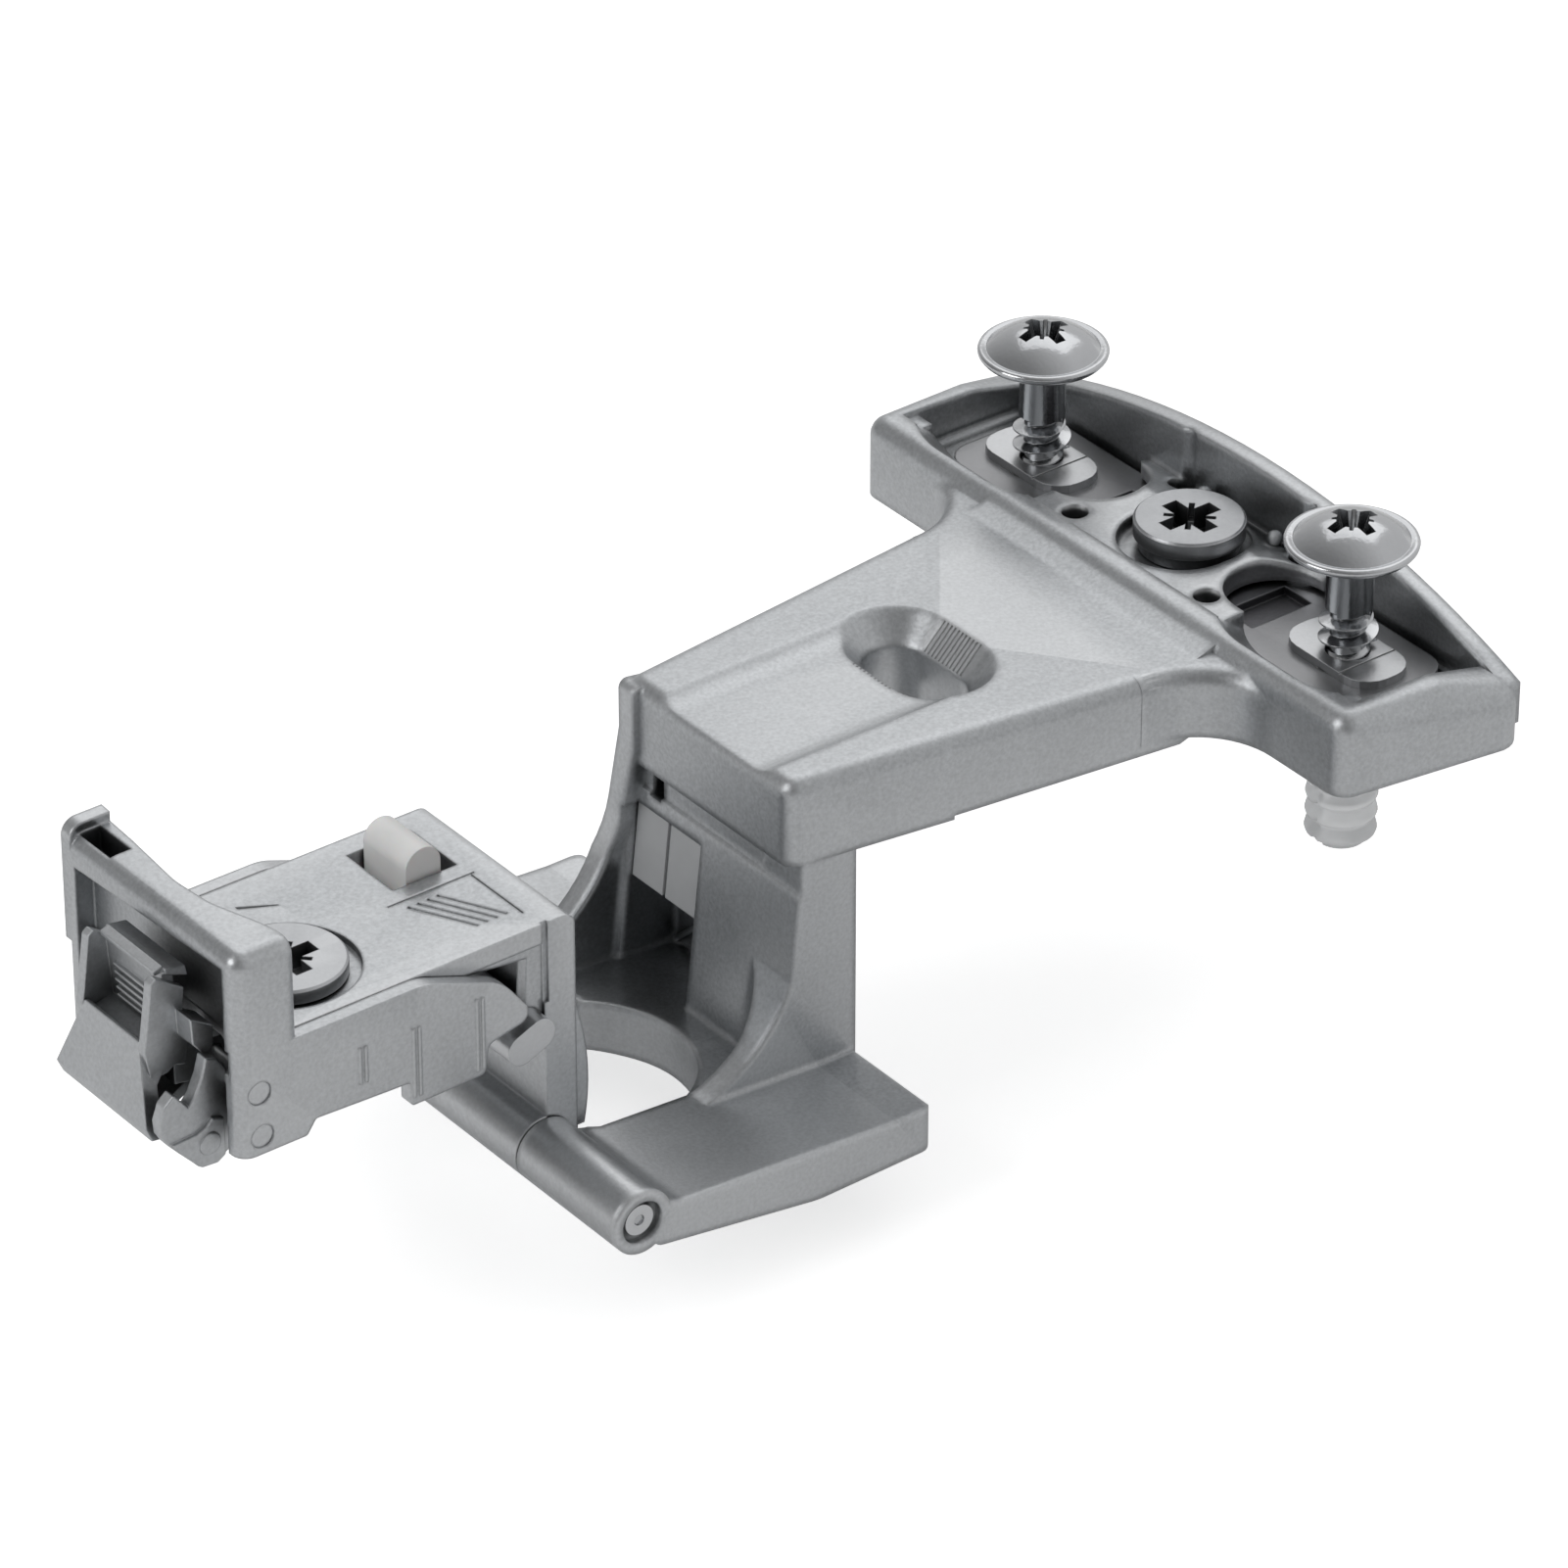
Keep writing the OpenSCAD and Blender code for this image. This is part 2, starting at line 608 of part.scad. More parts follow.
module dowel_carrier() {
    color("gray") translate([0, 0, carrier_z]) difference() {
        union() {
            linear_extrude(carrier_t)
                polygon(rounded([[-carrier_w / 2, -carrier_l / 2, 2], [carrier_w / 2, -carrier_l / 2, 2],
                    [carrier_w / 2, carrier_l / 2, 2], [-carrier_w / 2, carrier_l / 2, 2]]));
        }
        for (s = [-1, 1]) translate([0, s * dowel_pitch / 2, -1]) cylinder(d = dowel_d + 0.06, h = 5);
        box(-2.95 - cam_pin_r, 2.45 + cam_pin_r, -cam_pin_r - 0.2, cam_pin_r + 0.2, -1, 4);
        for (s = [-1, 1]) translate([0, s * 8, 0]) box(-2.6, 2.6, -1.4, 1.4, carrier_t - 0.6, carrier_t + 1);
    }
}

// Clamping plate under a screw head
module dowel_plate(y) {
    color("whitesmoke") translate([0, y, plate_z - dplate_t]) difference() {
        linear_extrude(dplate_t)
            polygon(rounded([[-2.4, -4.4, 2], [2.4, -4.4, 2], [2.4, 4.4, 2], [-2.4, 4.4, 2]]));
        translate([0, 0, -1]) cylinder(d = shank_d + 0.2, h = 4);
        box(-2.5, 2.5, -2.05, -1.9, dplate_t - 0.12, dplate_t + 1);
    }
}

// Dowel with barbed ribs, a blind bore for the screw and a slot down each side
module dowel(y) {
    rib = 1.35;
    r = dowel_d / 2;
    bore_r = shank_d / 2 - 0.1;
    color("ghostwhite") translate([0, y, 0]) difference() {
        rotate_extrude() polygon(concat(
            [[0, screw_tip - 0.6], [bore_r, screw_tip - 0.2], [bore_r, carrier_z + carrier_t],
                [r - dowel_collar, carrier_z + carrier_t], [r - dowel_collar, dowel_collar], [r, 0]],
            [for (i = [0:dowel_ribs - 1]) each
                [[r, -0.6 - i * rib], [r - 0.28, -0.8 - i * rib], [r, -1.3 - i * rib]]],
            [[r, -dowel_len + 1.1], [r - 0.8, -dowel_len + 0.2], [0.9, -dowel_len], [0, -dowel_len]]));
        for (x = [-3, dowel_core]) box(x, x + 3 - dowel_core, -0.25, 0.25, -dowel_len - 1, -3);
    }
}

// Pan head screw with a flange, standing partly driven in its dowel
module flange_screw(y) {
    head_h = 2.3;
    core_d = shank_d - 0.7;
    ball_r = (pow(head_d / 2 - 0.4, 2) + pow(head_h - 0.6, 2)) / (2 * (head_h - 0.6));
    color("lightgray") translate([0, y, head_lift]) difference() {
        union() {
            rotate_extrude() polygon(concat(
                [[0, -1], [shank_d / 2 + 0.4, -1], [head_d / 2 - 0.9, -0.65], [head_d / 2 - 0.2, -0.4],
                    [head_d / 2, -0.1], [head_d / 2 - 0.12, 0.18], [head_d / 2 - 0.4, 0.22]],
                [for (i = [1:7]) let (a = asin((head_d / 2 - 0.4) / ball_r) * (1 - i / 7))
                    [ball_r * sin(a), 0.22 + head_h - 0.6 - ball_r + ball_r * cos(a)]]));
            translate([0, 0, -7.2]) cylinder(d = shank_d, h = 6.5);
            translate([0, 0, screw_tip - head_lift]) cylinder(d = core_d, h = head_lift - 6 - screw_tip);
            for (z = [-7.6:-thread_pitch:screw_tip - head_lift + 0.6]) translate([0, 0, z]) {
                cylinder(d1 = core_d, d2 = shank_d + 0.15, h = 0.3);
                translate([0, 0, 0.3]) cylinder(d1 = shank_d + 0.15, d2 = core_d, h = 0.3);
            }
        }
        cross_recess(1.9, 4.4, 2);
    }
}

module leaf_end_outline() {
    polygon(rounded([[-leaf_left, arm_top, 0], [-leaf_right, arm_top, 0.9],
        [-leaf_right, pin_z + 0.4, 0], [-pin_x, pin_z, 0], [-leaf_left, pin_z + 1, 0]]));
}

// Top plate, end plate and middle knuckle, cast as one
module hinge_leaf() {
    color("silver") difference() {
        union() {
            side_profile(-leaf_near, leaf_far)
                polygon(rounded([[-plate_left, plate_z0, 0.3], [-plate_left, arm_top, 0.3],
                    [-leaf_left + 0.5, arm_top, 0], [-leaf_left + 0.5, plate_z0, 0]]));
            side_profile(-leaf_near, leaf_far) leaf_end_outline();
            translate([-pin_x, leaf_far, pin_z]) rotate([90, 0, 0])
                cylinder(r = barrel_r, h = leaf_near + leaf_far);
            // Swelling on the back of the end plate
            side_profile(-leaf_near + 0.5, leaf_far - 0.5)
                intersection() {
                    translate([-leaf_right - 17.4, -12.6]) circle(r = 18.65, $fn = 120);
                    translate([-leaf_right - 0.5, -16.2]) square([3, 11]);
                }
            // Side webs under the top plate
            for (y = [-leaf_near + 0.35, leaf_far - 1.35]) side_profile(y, y + 1)
                translate([-leaf_left, 0]) polygon([[-7.4, plate_z0 + 0.1], [0.1, plate_z0 + 0.1],
                    [0.1, -8.9], [-3.1, -8.3], [-3.4, -6], [-1.3, web_z], [-1.1, -1.7], [-7.4, -1]]);
            // Lugs that carry the switch lever
            for (y = [lever_near - 1.5, lever_far + 0.15]) side_profile(y, y + 1.25)
                polygon(rounded([[-lever_x - 1.5, plate_z0 + 0.1, 0], [-lever_x + 1.5, plate_z0 + 0.1, 0],
                    [-lever_x + 1.3, switch_pivot_z - 1.2, 1], [-lever_x - 1.3, switch_pivot_z - 1.2, 1]]));
        }
        // Sockets of the stop bar
        translate([-stop_x, leaf_far + 1, stop_z]) rotate([90, 0, 0]) rotate(22) {
            for (x = [-0.75, 0.75]) translate([x, 0, 0]) cylinder(r = 1.15, h = 20);
            translate([-0.75, -1.15, 0]) cube([1.5, 2.3, 20]);
        }
        // Seat of the depth cam's disc and the cross slot for its eccentric
        translate([-disc_x, disc_y, disc_seat_z]) cylinder(r = disc_hole_r, h = plate_t + 2);
        translate([-disc_x, disc_y + disc_offset - 0.2, 0])
            oblong(disc_neck_d / 2 + 0.12, 0.35, plate_z0 - 1, arm_top);
        // Slot for the switch lever
        box(-slot_x0, -slot_x1, slot_near, slot_far, plate_z0 - 0.5, arm_top + 1);
        translate([-lever_x, lever_far + 1.6, switch_pivot_z]) rotate([90, 0, 0])
            cylinder(d = switch_pin_d + 2 * pivot_fit, h = 8.5);
        translate([-pin_x, leaf_far + 1, pin_z]) rotate([90, 0, 0])
            cylinder(d = pin_d + 2 * pivot_fit, h = leaf_near + leaf_far + 2);
        // Engraved frame line and hatching
        box(-leaf_left - 6.7, -leaf_left + 0.05, 1.3, 1.45, arm_top - 0.1, arm_top + 1);
        box(-leaf_left - 0.35, -leaf_left - 0.2, -leaf_near + 1.8, 1.45, arm_top - 0.1, arm_top + 1);
        for (i = [0:3]) translate([-leaf_left - 5.8 + i * 0.76, 0.55, arm_top - 0.14]) rotate(-62.5)
            cube([5, 0.24, 1]);
        // Tapered scribe mark near the far edge
        translate([-leaf_left - 14.4, 7.1, arm_top - 0.12]) linear_extrude(1)
            polygon([[0, -0.16], [0, 0.16], [2.4, -1.25], [2.35, -1.35]]);
        // Vertical groove beside the end plate's near edge
        box(-leaf_left - 0.1, -leaf_left + 0.35, -leaf_near - 1, -leaf_near + 0.25, web_z, arm_top + 1);
    }
}

// Oblong bar across the arm, against the end plate
module stop_bar() {
    y0 = -side_near - 0.15;
    y1 = leaf_far - 0.35;
    color("darkgray") translate([-stop_x, y1, stop_z]) rotate([90, 0, 0]) rotate(22) {
        for (x = [-0.75, 0.75]) translate([x, 0, 0]) cylinder(r = 1.15, h = y1 - y0);
        translate([-0.75, -1.15, 0]) cube([1.5, 2.3, y1 - y0]);
    }
}

// Rocking switch with a rounded top and two moulded trunnions
module switch_lever() {
    color("white") {
        side_profile(lever_near, lever_far) union() {
            translate([-lever_x, lever_top - lever_w / 2]) circle(d = lever_w);
            translate([-lever_x - lever_w / 2, plate_z0 - 0.4])
                square([lever_w, lever_top - lever_w / 2 - plate_z0 + 0.4]);
            translate([-lever_x - 1.1, switch_pivot_z]) square([2.2, 2]);
            translate([-lever_x, switch_pivot_z]) circle(r = 1.1);
        }
        translate([-lever_x, lever_far + 1, switch_pivot_z]) rotate([90, 0, 0])
            cylinder(d = switch_pin_d, h = lever_far - lever_near + 2);
    }
}

// Side outline of the housing's long walls: level beside the plate, arched at the pin's end
module side_outline() {
    x = -leaf_left;
    polygon(rounded([[-block_front + 1, -block_bottom, 0.8], [-block_front + 1, arm_top, 0],
        [x - 10, arm_top, 4], [x - 4, -1.6, 3.5], [x - 1.5, -5, 0.8], [x - 5.2, -5.8, 0.6],
        [x - 5.5, -7.9, 0.5], [x - 11.3, -8, 0.3], [x - 11.3, -6.2, 0.2], [x - 12.9, -6.15, 0.3],
        [-block_back + 1.1, -5.9, 0.3], [-block_back + 0.4, -block_bottom, 0.3]]));
}

module arm_housing() {
    color("darkgray") difference() {
        union() {
            side_profile(-side_near, -side_near + side_t) side_outline();
            side_profile(side_far - side_t, side_far) side_outline();
            // Deck that the top plate slides on
            box(-block_back - 1, -deck_right, -side_near + 0.5, side_far - 0.5, deck_z - deck_t, deck_z);
            // Clip block
            clip_block();
            // Paired ribs on the near wall
            for (x = [73.6, 69.5, 64.6]) for (d = [0, 0.45]) side_profile(-side_near - 0.14, -side_near + 0.3)
                translate([-x + d, x > 73 ? -4.7 : x > 69 ? -7.4 : -7.4])
                    square([0.2, x > 73 ? 2.7 : x > 69 ? 5.2 : 5.4]);
        }
        translate([-disc_x, disc_y, deck_z - deck_t - 1]) cylinder(d = screw_bore_d, h = deck_t + 2);
        for (p = [[lever_axle_x, lever_axle_z], [catch_axle_x, catch_axle_z]])
            translate([-p[0], block_far + 1, p[1]]) rotate([90, 0, 0])
                cylinder(d = axle_d, h = side_near + block_far + 2);
    }
}

// Plan outline of the block, hollowed behind so that it clears the depth cam
module block_plan() {
    polygon(rounded([[-block_front - 1, -side_near - 1, 0], [-block_back, -side_near - 1, 0],
        [-block_back - 0.3, -side_near + 1.6, 1.5], [-block_back - 1.9, -0.8, 6], [-block_back - 2.2, 2.6, 6],
        [-block_back - 1.7, block_far - 4, 3], [-block_back - 1.4, block_far + 1, 0],
        [-block_front - 1, block_far + 1, 0]]));
}

module clip_block() {
    inner_near = -side_near + 1.4;
    inner_far = block_far - 1.5;
    difference() {
        intersection() {
            hull() for (x = [-block_front, -block_back - 1.9], y = [-side_near, block_far - 2 * edge_r])
                post(x + edge_r, y + edge_r, -block_bottom, block_top, edge_r);
            union() {
                translate([0, 0, 0.5]) linear_extrude(block_top) block_plan();
                box(-block_front - 1, -block_back, -side_near - 1, block_far + 1, -block_bottom - 1, arm_top);
            }
        }
        // Front opening for the release lever, under a bar that thins towards the near side
        translate([-block_front - 1, 0, 0]) rotate([90, 0, 90]) linear_extrude(2.4)
            polygon([[inner_near, 0], [inner_far, 0],
                [inner_far, block_top - 2.1], [inner_near, block_top - 1.2]]);
        box(-block_front - 1, -block_back - 1.2, inner_near, inner_far,
            -block_bottom - 1, arm_top + slide_gap);
        // Passage for the top plate
        box(-block_front - 1, -block_back + 1, -leaf_near - slide_gap, leaf_far + slide_gap,
            deck_z, arm_top + slide_gap + 0.05);
        // Slot behind the lug at the far end
        box(-block_front + 0.7, -block_front + 2.3, block_far - 4.7, block_far - 1.2,
            block_top - 1.9, block_top + 1);
    }
    // Lug at the far end
    intersection() {
        translate([0, 0, -1]) linear_extrude(block_top + 3) block_plan();
        union() {
            box(-block_front + edge_r, -block_back - 1, block_far - 1.15, block_far - 0.15,
                0, block_top + lug_h);
            translate([-block_front + edge_r, block_far - 0.15, block_top + lug_h - edge_r])
                rotate([90, 0, 0]) cylinder(r = edge_r, h = 1);
            box(-block_front, -block_front + edge_r, block_far - 1.15, block_far - 0.15,
                0, block_top + lug_h - edge_r);
        }
    }
}

// Depth cam: a disc sunk in the top plate, an eccentric in its slot and a stem in the deck
module depth_cam() {
    stem_d = screw_bore_d - 2 * pivot_fit;
    color("lightgray") translate([-disc_x, disc_y, 0]) difference() {
        union() {
            translate([0, 0, disc_top - disc_t]) cylinder(d = disc_d, h = disc_t - 0.15);
            translate([0, 0, disc_top - 0.15]) cylinder(d1 = disc_d, d2 = disc_d - 0.3, h = 0.15);
            translate([0, disc_offset, deck_z + 0.03]) cylinder(d = disc_neck_d, h = disc_top - 0.3 - deck_z);
            translate([0, 0, deck_z - deck_t - 0.8]) cylinder(d = stem_d, h = deck_t + 1.2);
        }
        cross_recess(disc_top, 4.4, 1.7);
    }
}

// Spring washer that holds the cam's stem under the deck
module depth_cam_clip() {
    color("dimgray") translate([-disc_x, disc_y, deck_z - deck_t - 0.6]) difference() {
        cylinder(d = screw_bore_d + 2.4, h = 0.5);
        translate([0, 0, -1]) cylinder(d = screw_bore_d - 2 * pivot_fit - 0.02, h = 3);
    }
}

// Side outline of the release lever, from the block's front: thumb rest above, lip below
module release_outline() {
    translate([-block_front, 0]) polygon(rounded([[0.1, 5, 0.3], [-1.3, 5.2, 0.3], [-1.6, 4.6, 0.2],
        [-0.9, 4.1, 0], [-1.3, 0.4, 0], [-3.3, 0.4, 0.3], [-4.4, -4.6, 0.3], [-3.5, -6.3, 0.4],
        [-1.7, -6.4, 0.3], [-0.8, -3.2, 0.6], [0, -2.9, 0.3], [0.1, -0.2, 0.3]]));
}

module release_lever() {
    x = -block_front;
    z = lever_axle_z;
    color("gray") difference() {
        union() {
            intersection() {
                side_profile(arm_mid - 5, arm_mid + 5) release_outline();
                // Narrow at the thumb rest and flared at the lip
                translate([x - 7.4, 0, 0]) rotate([90, 0, 90]) linear_extrude(12)
                    polygon([[thumb_near, 6], [thumb_far, 6], [thumb_far, 0.4], [arm_mid + 4.9, -5.2],
                        [arm_mid + 4.9, -8], [arm_mid - 4.9, -8], [arm_mid - 4.9, -5.2],
                        [arm_mid - 3.7, 0.4], [thumb_near, 0.4]]);
            }
            // Cheeks back to the axle
            for (y = [arm_mid - 3.7, arm_mid + 2.5]) side_profile(y, y + 1.2)
                polygon(rounded([[x - 1.4, -0.4, 0], [x, -0.4, 0.6], [x + 0.7, z + 1.4, 1],
                    [x + 3, z + 1.4, 1.4], [x + 3, z - 1.4, 1.4],
                    [x + 0.6, z - 1.4, 0.6], [x - 1.4, -3.4, 0]]));
            // Nose that presses on the catch
            side_profile(-claw_near + 0.1, arm_mid - 3.5)
                polygon(rounded([[x - 1.4, -1.6, 0], [x - 0.15, -1.6, 0],
                    [x - 0.15, 0.2, 0.5], [x - 1.4, 0.2, 0]]));
        }
        // Hollow of the thumb rest
        box(x - 2, x - 0.7, thumb_near + 0.8, thumb_far - 0.8, 0.3, 4.3);
        translate([-lever_axle_x, arm_mid + 6, z]) rotate([90, 0, 0])
            cylinder(d = axle_d + 2 * pivot_fit, h = 12);
    }
    // Grip ribs
    color("gray") for (i = [0:3]) translate([x - 0.85, thumb_near + 0.7, 0.75 + i * 0.62])
        cube([0.5, thumb_far - thumb_near - 1.4, 0.28]);
}

module axle(x, z) {
    translate([-x, block_far - 0.1, z]) rotate([90, 0, 0])
        cylinder(d = axle_d, h = side_near + block_far - 0.2);
}

module lever_axle() { color("lightgray") axle(lever_axle_x, lever_axle_z); }

module catch_axle() { color("lightgray") axle(catch_axle_x, catch_axle_z); }

// Torsion spring round the lever's axle
module lever_spring() {
    turns = 3.5;
    wire = 0.4;
    r = axle_d / 2 + 0.22;
    steps = 14;
    pitch = 0.62;
    n = floor(turns * steps);
    sides = 6;
    y0 = arm_mid - 1.2;
    pts = [for (i = [0:n]) for (j = [0:sides - 1])
        let (a = 360 * i / steps, b = 360 * j / sides, q = r + wire / 2 * cos(b))
        [q * cos(a), pitch * i / steps + wire / 2 * sin(b), q * sin(a)]];
    faces = concat([[for (j = [0:sides - 1]) j]],
        [for (i = [0:n - 1]) for (j = [0:sides - 1]) let (k = (j + 1) % sides)
            [i * sides + j, (i + 1) * sides + j, (i + 1) * sides + k, i * sides + k]],
        [[for (j = [sides - 1:-1:0]) n * sides + j]]);
    color("dimgray") translate([-lever_axle_x, y0, lever_axle_z]) polyhedron(pts, faces);
}

// Hooked catch that grips the mounting plate; its upper arm stands behind the lever's nose
module catch_claw() {
    color("gray") difference() {
        side_profile(-claw_near, -claw_near + 1.5) translate([-block_front, 0])
            polygon(rounded([[-0.1, 0.1, 0.3], [0.6, 0.1, 0.3], [0.7, -3.8, 0.6], [3.2, -4.3, 1.2],
                [3.1, -6.9, 0.8], [1.3, -7.4, 0.3], [1, -8, 0.2], [1.9, -8.3, 0.2], [1.6, -9.2, 0.4],
                [-0.2, -8.8, 0.5], [-0.6, -5.8, 0.8], [-0.1, -3.4, 0.8]]));
        translate([-catch_axle_x, 0, catch_axle_z]) rotate([90, 0, 0])
            cylinder(d = axle_d + 2 * pivot_fit, h = 12);
        // The claw's upper end swings towards the lever's axle
        translate([-lever_axle_x, 0, lever_axle_z]) rotate([90, 0, 0])
            cylinder(d = axle_d + 2 * claw_swing, h = 12);
    }
}

bracket();
wall_buffer();
hinge_pin();
height_cam();
cam_clip();
dowel_carrier();
dowel_plate(dowel_pitch / 2);  // dowel_plate_far
dowel_plate(-dowel_pitch / 2);  // dowel_plate_near
dowel(dowel_pitch / 2);  // dowel_far
dowel(-dowel_pitch / 2);  // dowel_near
flange_screw(dowel_pitch / 2);  // flange_screw_far
flange_screw(-dowel_pitch / 2);  // flange_screw_near
hinge_leaf();
stop_bar();
switch_lever();
arm_housing();
depth_cam();
depth_cam_clip();
release_lever();
lever_axle();
lever_spring();
catch_claw();
catch_axle();
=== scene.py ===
"""Looks of a clip-on cabinet hinge with a T-shaped bracket: satin nickel-plated castings, smooth
plated screws, white and uncoloured nylon, on a pale floor in soft studio light.

The solids come from the frame. Screws, dowels, release lever and catch are built here with their
finer forms, and take the place of the plainer solids. Outlines are in mm, in the frame's axes:
x along the arm, y along the hinge pin, z up."""
import math

import bmesh
import bpy
from bpy.props import FloatProperty, FloatVectorProperty, IntProperty, PointerProperty
from mathutils import Matrix, Vector


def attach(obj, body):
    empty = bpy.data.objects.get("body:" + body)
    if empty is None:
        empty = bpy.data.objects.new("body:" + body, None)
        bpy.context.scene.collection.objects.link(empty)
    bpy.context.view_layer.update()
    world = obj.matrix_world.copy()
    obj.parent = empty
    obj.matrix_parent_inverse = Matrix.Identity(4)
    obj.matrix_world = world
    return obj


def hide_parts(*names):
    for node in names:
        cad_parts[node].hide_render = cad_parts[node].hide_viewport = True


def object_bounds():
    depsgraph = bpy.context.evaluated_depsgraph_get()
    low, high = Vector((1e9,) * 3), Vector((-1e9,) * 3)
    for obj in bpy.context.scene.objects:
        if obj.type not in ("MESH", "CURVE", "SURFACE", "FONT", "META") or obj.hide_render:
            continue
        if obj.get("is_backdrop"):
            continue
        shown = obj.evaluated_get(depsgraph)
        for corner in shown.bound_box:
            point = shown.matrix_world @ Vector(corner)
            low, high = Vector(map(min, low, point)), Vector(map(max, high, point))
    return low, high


bl_info = {
    "name": "Cabinet hinge looks",
    "version": (1, 0, 0),
    "blender": (4, 5, 0),
    "location": "3D View > Sidebar > Hinge",
    "description": "Finishes, screw threads and studio of a clip-on cabinet hinge",
    "category": "Object",
}

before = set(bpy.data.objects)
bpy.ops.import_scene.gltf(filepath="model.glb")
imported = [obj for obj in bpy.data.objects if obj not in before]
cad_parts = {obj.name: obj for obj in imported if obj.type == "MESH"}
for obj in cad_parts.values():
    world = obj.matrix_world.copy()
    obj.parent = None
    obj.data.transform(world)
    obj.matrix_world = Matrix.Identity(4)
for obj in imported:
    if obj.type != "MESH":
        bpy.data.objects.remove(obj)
MM = 0.001
STATE = {}                  # shader groups and materials, shared by the operators

# Edges
BEVEL_ANGLE = math.radians(28)
SHARP_ANGLE = math.radians(38)

# Flange screws: name and y; the flange as (radius, height); the dome as (radius, foot, top)
SCREW_ROWS = (("far", 16.0), ("near", -16.0))
SCREW_TIP = -3.9
CORE_R = 1.2
CREST_R = 2.0
CREST_R_IN_DOWEL = 1.5
THREAD_RUNOUT = 0.5
THREAD_PHASES = (0.0, 0.26, 0.46, 0.54, 0.74)       # places of the rows within one pitch
CREST_WIDTH = 0.25          # half the crest's foot, in pitches
CREST_FLAT = 1.25           # over 1, the crest gets a flat
SHANK_R = 1.6
SHANK_END = 7.2
SHANK_BLEND = 0.3
FULL_THREAD_FROM = 4.5      # below, the thread is pressed into the dowel
FLANGE = [(1.6, 11.0), (1.75, 11.32), (2.2, 11.5), (3.3, 11.68), (4.0, 11.86), (4.3, 12.02),
          (4.46, 12.22), (4.5, 12.4), (4.44, 12.54), (4.3, 12.62), (4.14, 12.62), (4.02, 12.56),
          (3.9, 12.56)]
DOME = (3.9, 12.56, 14.12)
DOME_STEPS = 10
RECESS_DEPTH = 1.9
RECESS_OVER = 0.4
RECESS_TOP = dict(reach=2.25, wing=0.5, tick=1.25, waist=1.15)
RECESS_FLOOR = dict(reach=1.05, wing=0.3, tick=0.5, waist=0.6)

# Dowels: collar, then one barb after another
DOWEL_COLLAR = [(1.9, 3.4), (1.9, 0.2), (2.3, 0.0), (2.35, -3.0)]
DOWEL_BARB = [(2.0, 0.0), (2.12, -0.22), (2.38, -0.55), (2.45, -0.85), (2.36, -1.1), (2.08, -1.26)]
DOWEL_TIP = [(1.9, 0.0), (1.75, -0.35), (1.2, -0.6), (0.05, -0.7)]
BARBS_FROM = -3.3
DOWEL_STEPS = 40
SLOT_DEPTH = 0.35
SLOT_FROM = -3.0
SLOT_HALF = 0.1             # sine of half the slot's angle

# Release lever: x is counted from the clip block's front, y from the lever's middle
FRONT = -82.6
MIDDLE = 1.75
FLAP = [(-3.3, 0.3, 3.05), (-4.33, -4.9, 5.1), (-3.9, -5.9, 5.0), (-3.0, -6.1, 4.9),
        (-2.7, -2.6, 4.1), (-1.0, -0.9, 3.4), (-0.9, 0.0, 3.1), (-2.7, -0.35, 3.05),
        (-2.95, 0.25, 3.05)]            # x, z and half width
EAR = [(-2.75, 4.7), (-2.35, 5.0), (-0.3, 3.6), (-0.45, 2.0), (-0.12, -0.3), (-0.4, -2.1),
       (-1.2, -1.85), (-1.8, -2.2), (-3.0, -2.3), (-3.45, 0.0), (-3.3, 0.6)]
THUMB_PLATE = [(-1.05, -0.6), (-1.5, 4.75), (-0.7, 4.9), (-0.3, -0.6)]
TOP_BAR = [(-1.95, 4.62), (-2.0, 4.98), (-1.3, 5.22), (-1.2, 4.7)]
SLOPE = [(-1.35, 4.6), (-1.3, 5.0), (0.22, 4.75), (0.38, 3.95)]
CHEEK = [(-1.2, -0.4), (0.2, -0.5), (1.2, -0.95), (2.4, -1.1), (3.0, -2.3), (2.4, -3.6),
         (1.0, -3.8), (-1.2, -3.4)]
WEB = [(-3.1, -6.0), (-3.2, -5.3), (0.2, -3.3), (0.8, -3.9)]
LUG = [(-1.0, 2.3), (-0.1, 1.75), (0.7, 1.25), (0.65, -0.35), (0, -0.75), (-0.9, 0.4)]
LEVER_PLATES = [                        # outline and both sides
    (EAR, -3.85, -3.1), (EAR, 3.1, 3.85), (THUMB_PLATE, -3.2, 3.2), (TOP_BAR, -3.05, 2.95),
    (SLOPE, -3.3, 3.3), (CHEEK, -3.7, -2.5), (CHEEK, 2.5, 3.7), (WEB, -3.6, 3.6),
    (LUG, -5.45, -3.4)]
RIB = [(0.15, -0.16), (-0.3, -0.08), (-0.3, 0.1), (0.15, 0.2)]
RIB_SIDES = (-2.7, 2.2)
RIB_FOOT = (-1.1, 0.35)     # x at z = 0, and z of the lowest rib
RIB_LEAN = 0.084            # the ribs lean with the thumb plate

# Catch: x is counted from the clip block's front, y is the frame's
HOOK = [(-0.56, -0.29), (0.3, -0.6), (0.9, -1.6), (1.15, -3.2), (2.2, -4.2), (3.1, -5.0),
        (3.1, -6.3), (2.2, -7.1), (0.6, -7.9), (-0.1, -8.3), (-1.3, -8.2), (-2.0, -7.4),
        (-2.82, -6.5), (-3.6, -5.6), (-4.05, -4.82), (-4.12, -3.9), (-3.7, -2.7), (-3.0, -2.1),
        (-2.37, -2.85), (-1.95, -3.39), (-1.48, -2.78), (-0.91, -1.55)]
LOW_CHEEK = [(0.5, -5.0), (0.55, -7.8), (-0.1, -8.2), (-1.3, -8.1), (-2.8, -6.4), (-3.4, -5.6),
             (-1.6, -5.5), (-0.9, -5.2), (-0.4, -4.7)]
CATCH_PLATES = [(HOOK, -4.6, -3.62), (LOW_CHEEK, -4.85, -4.5)]
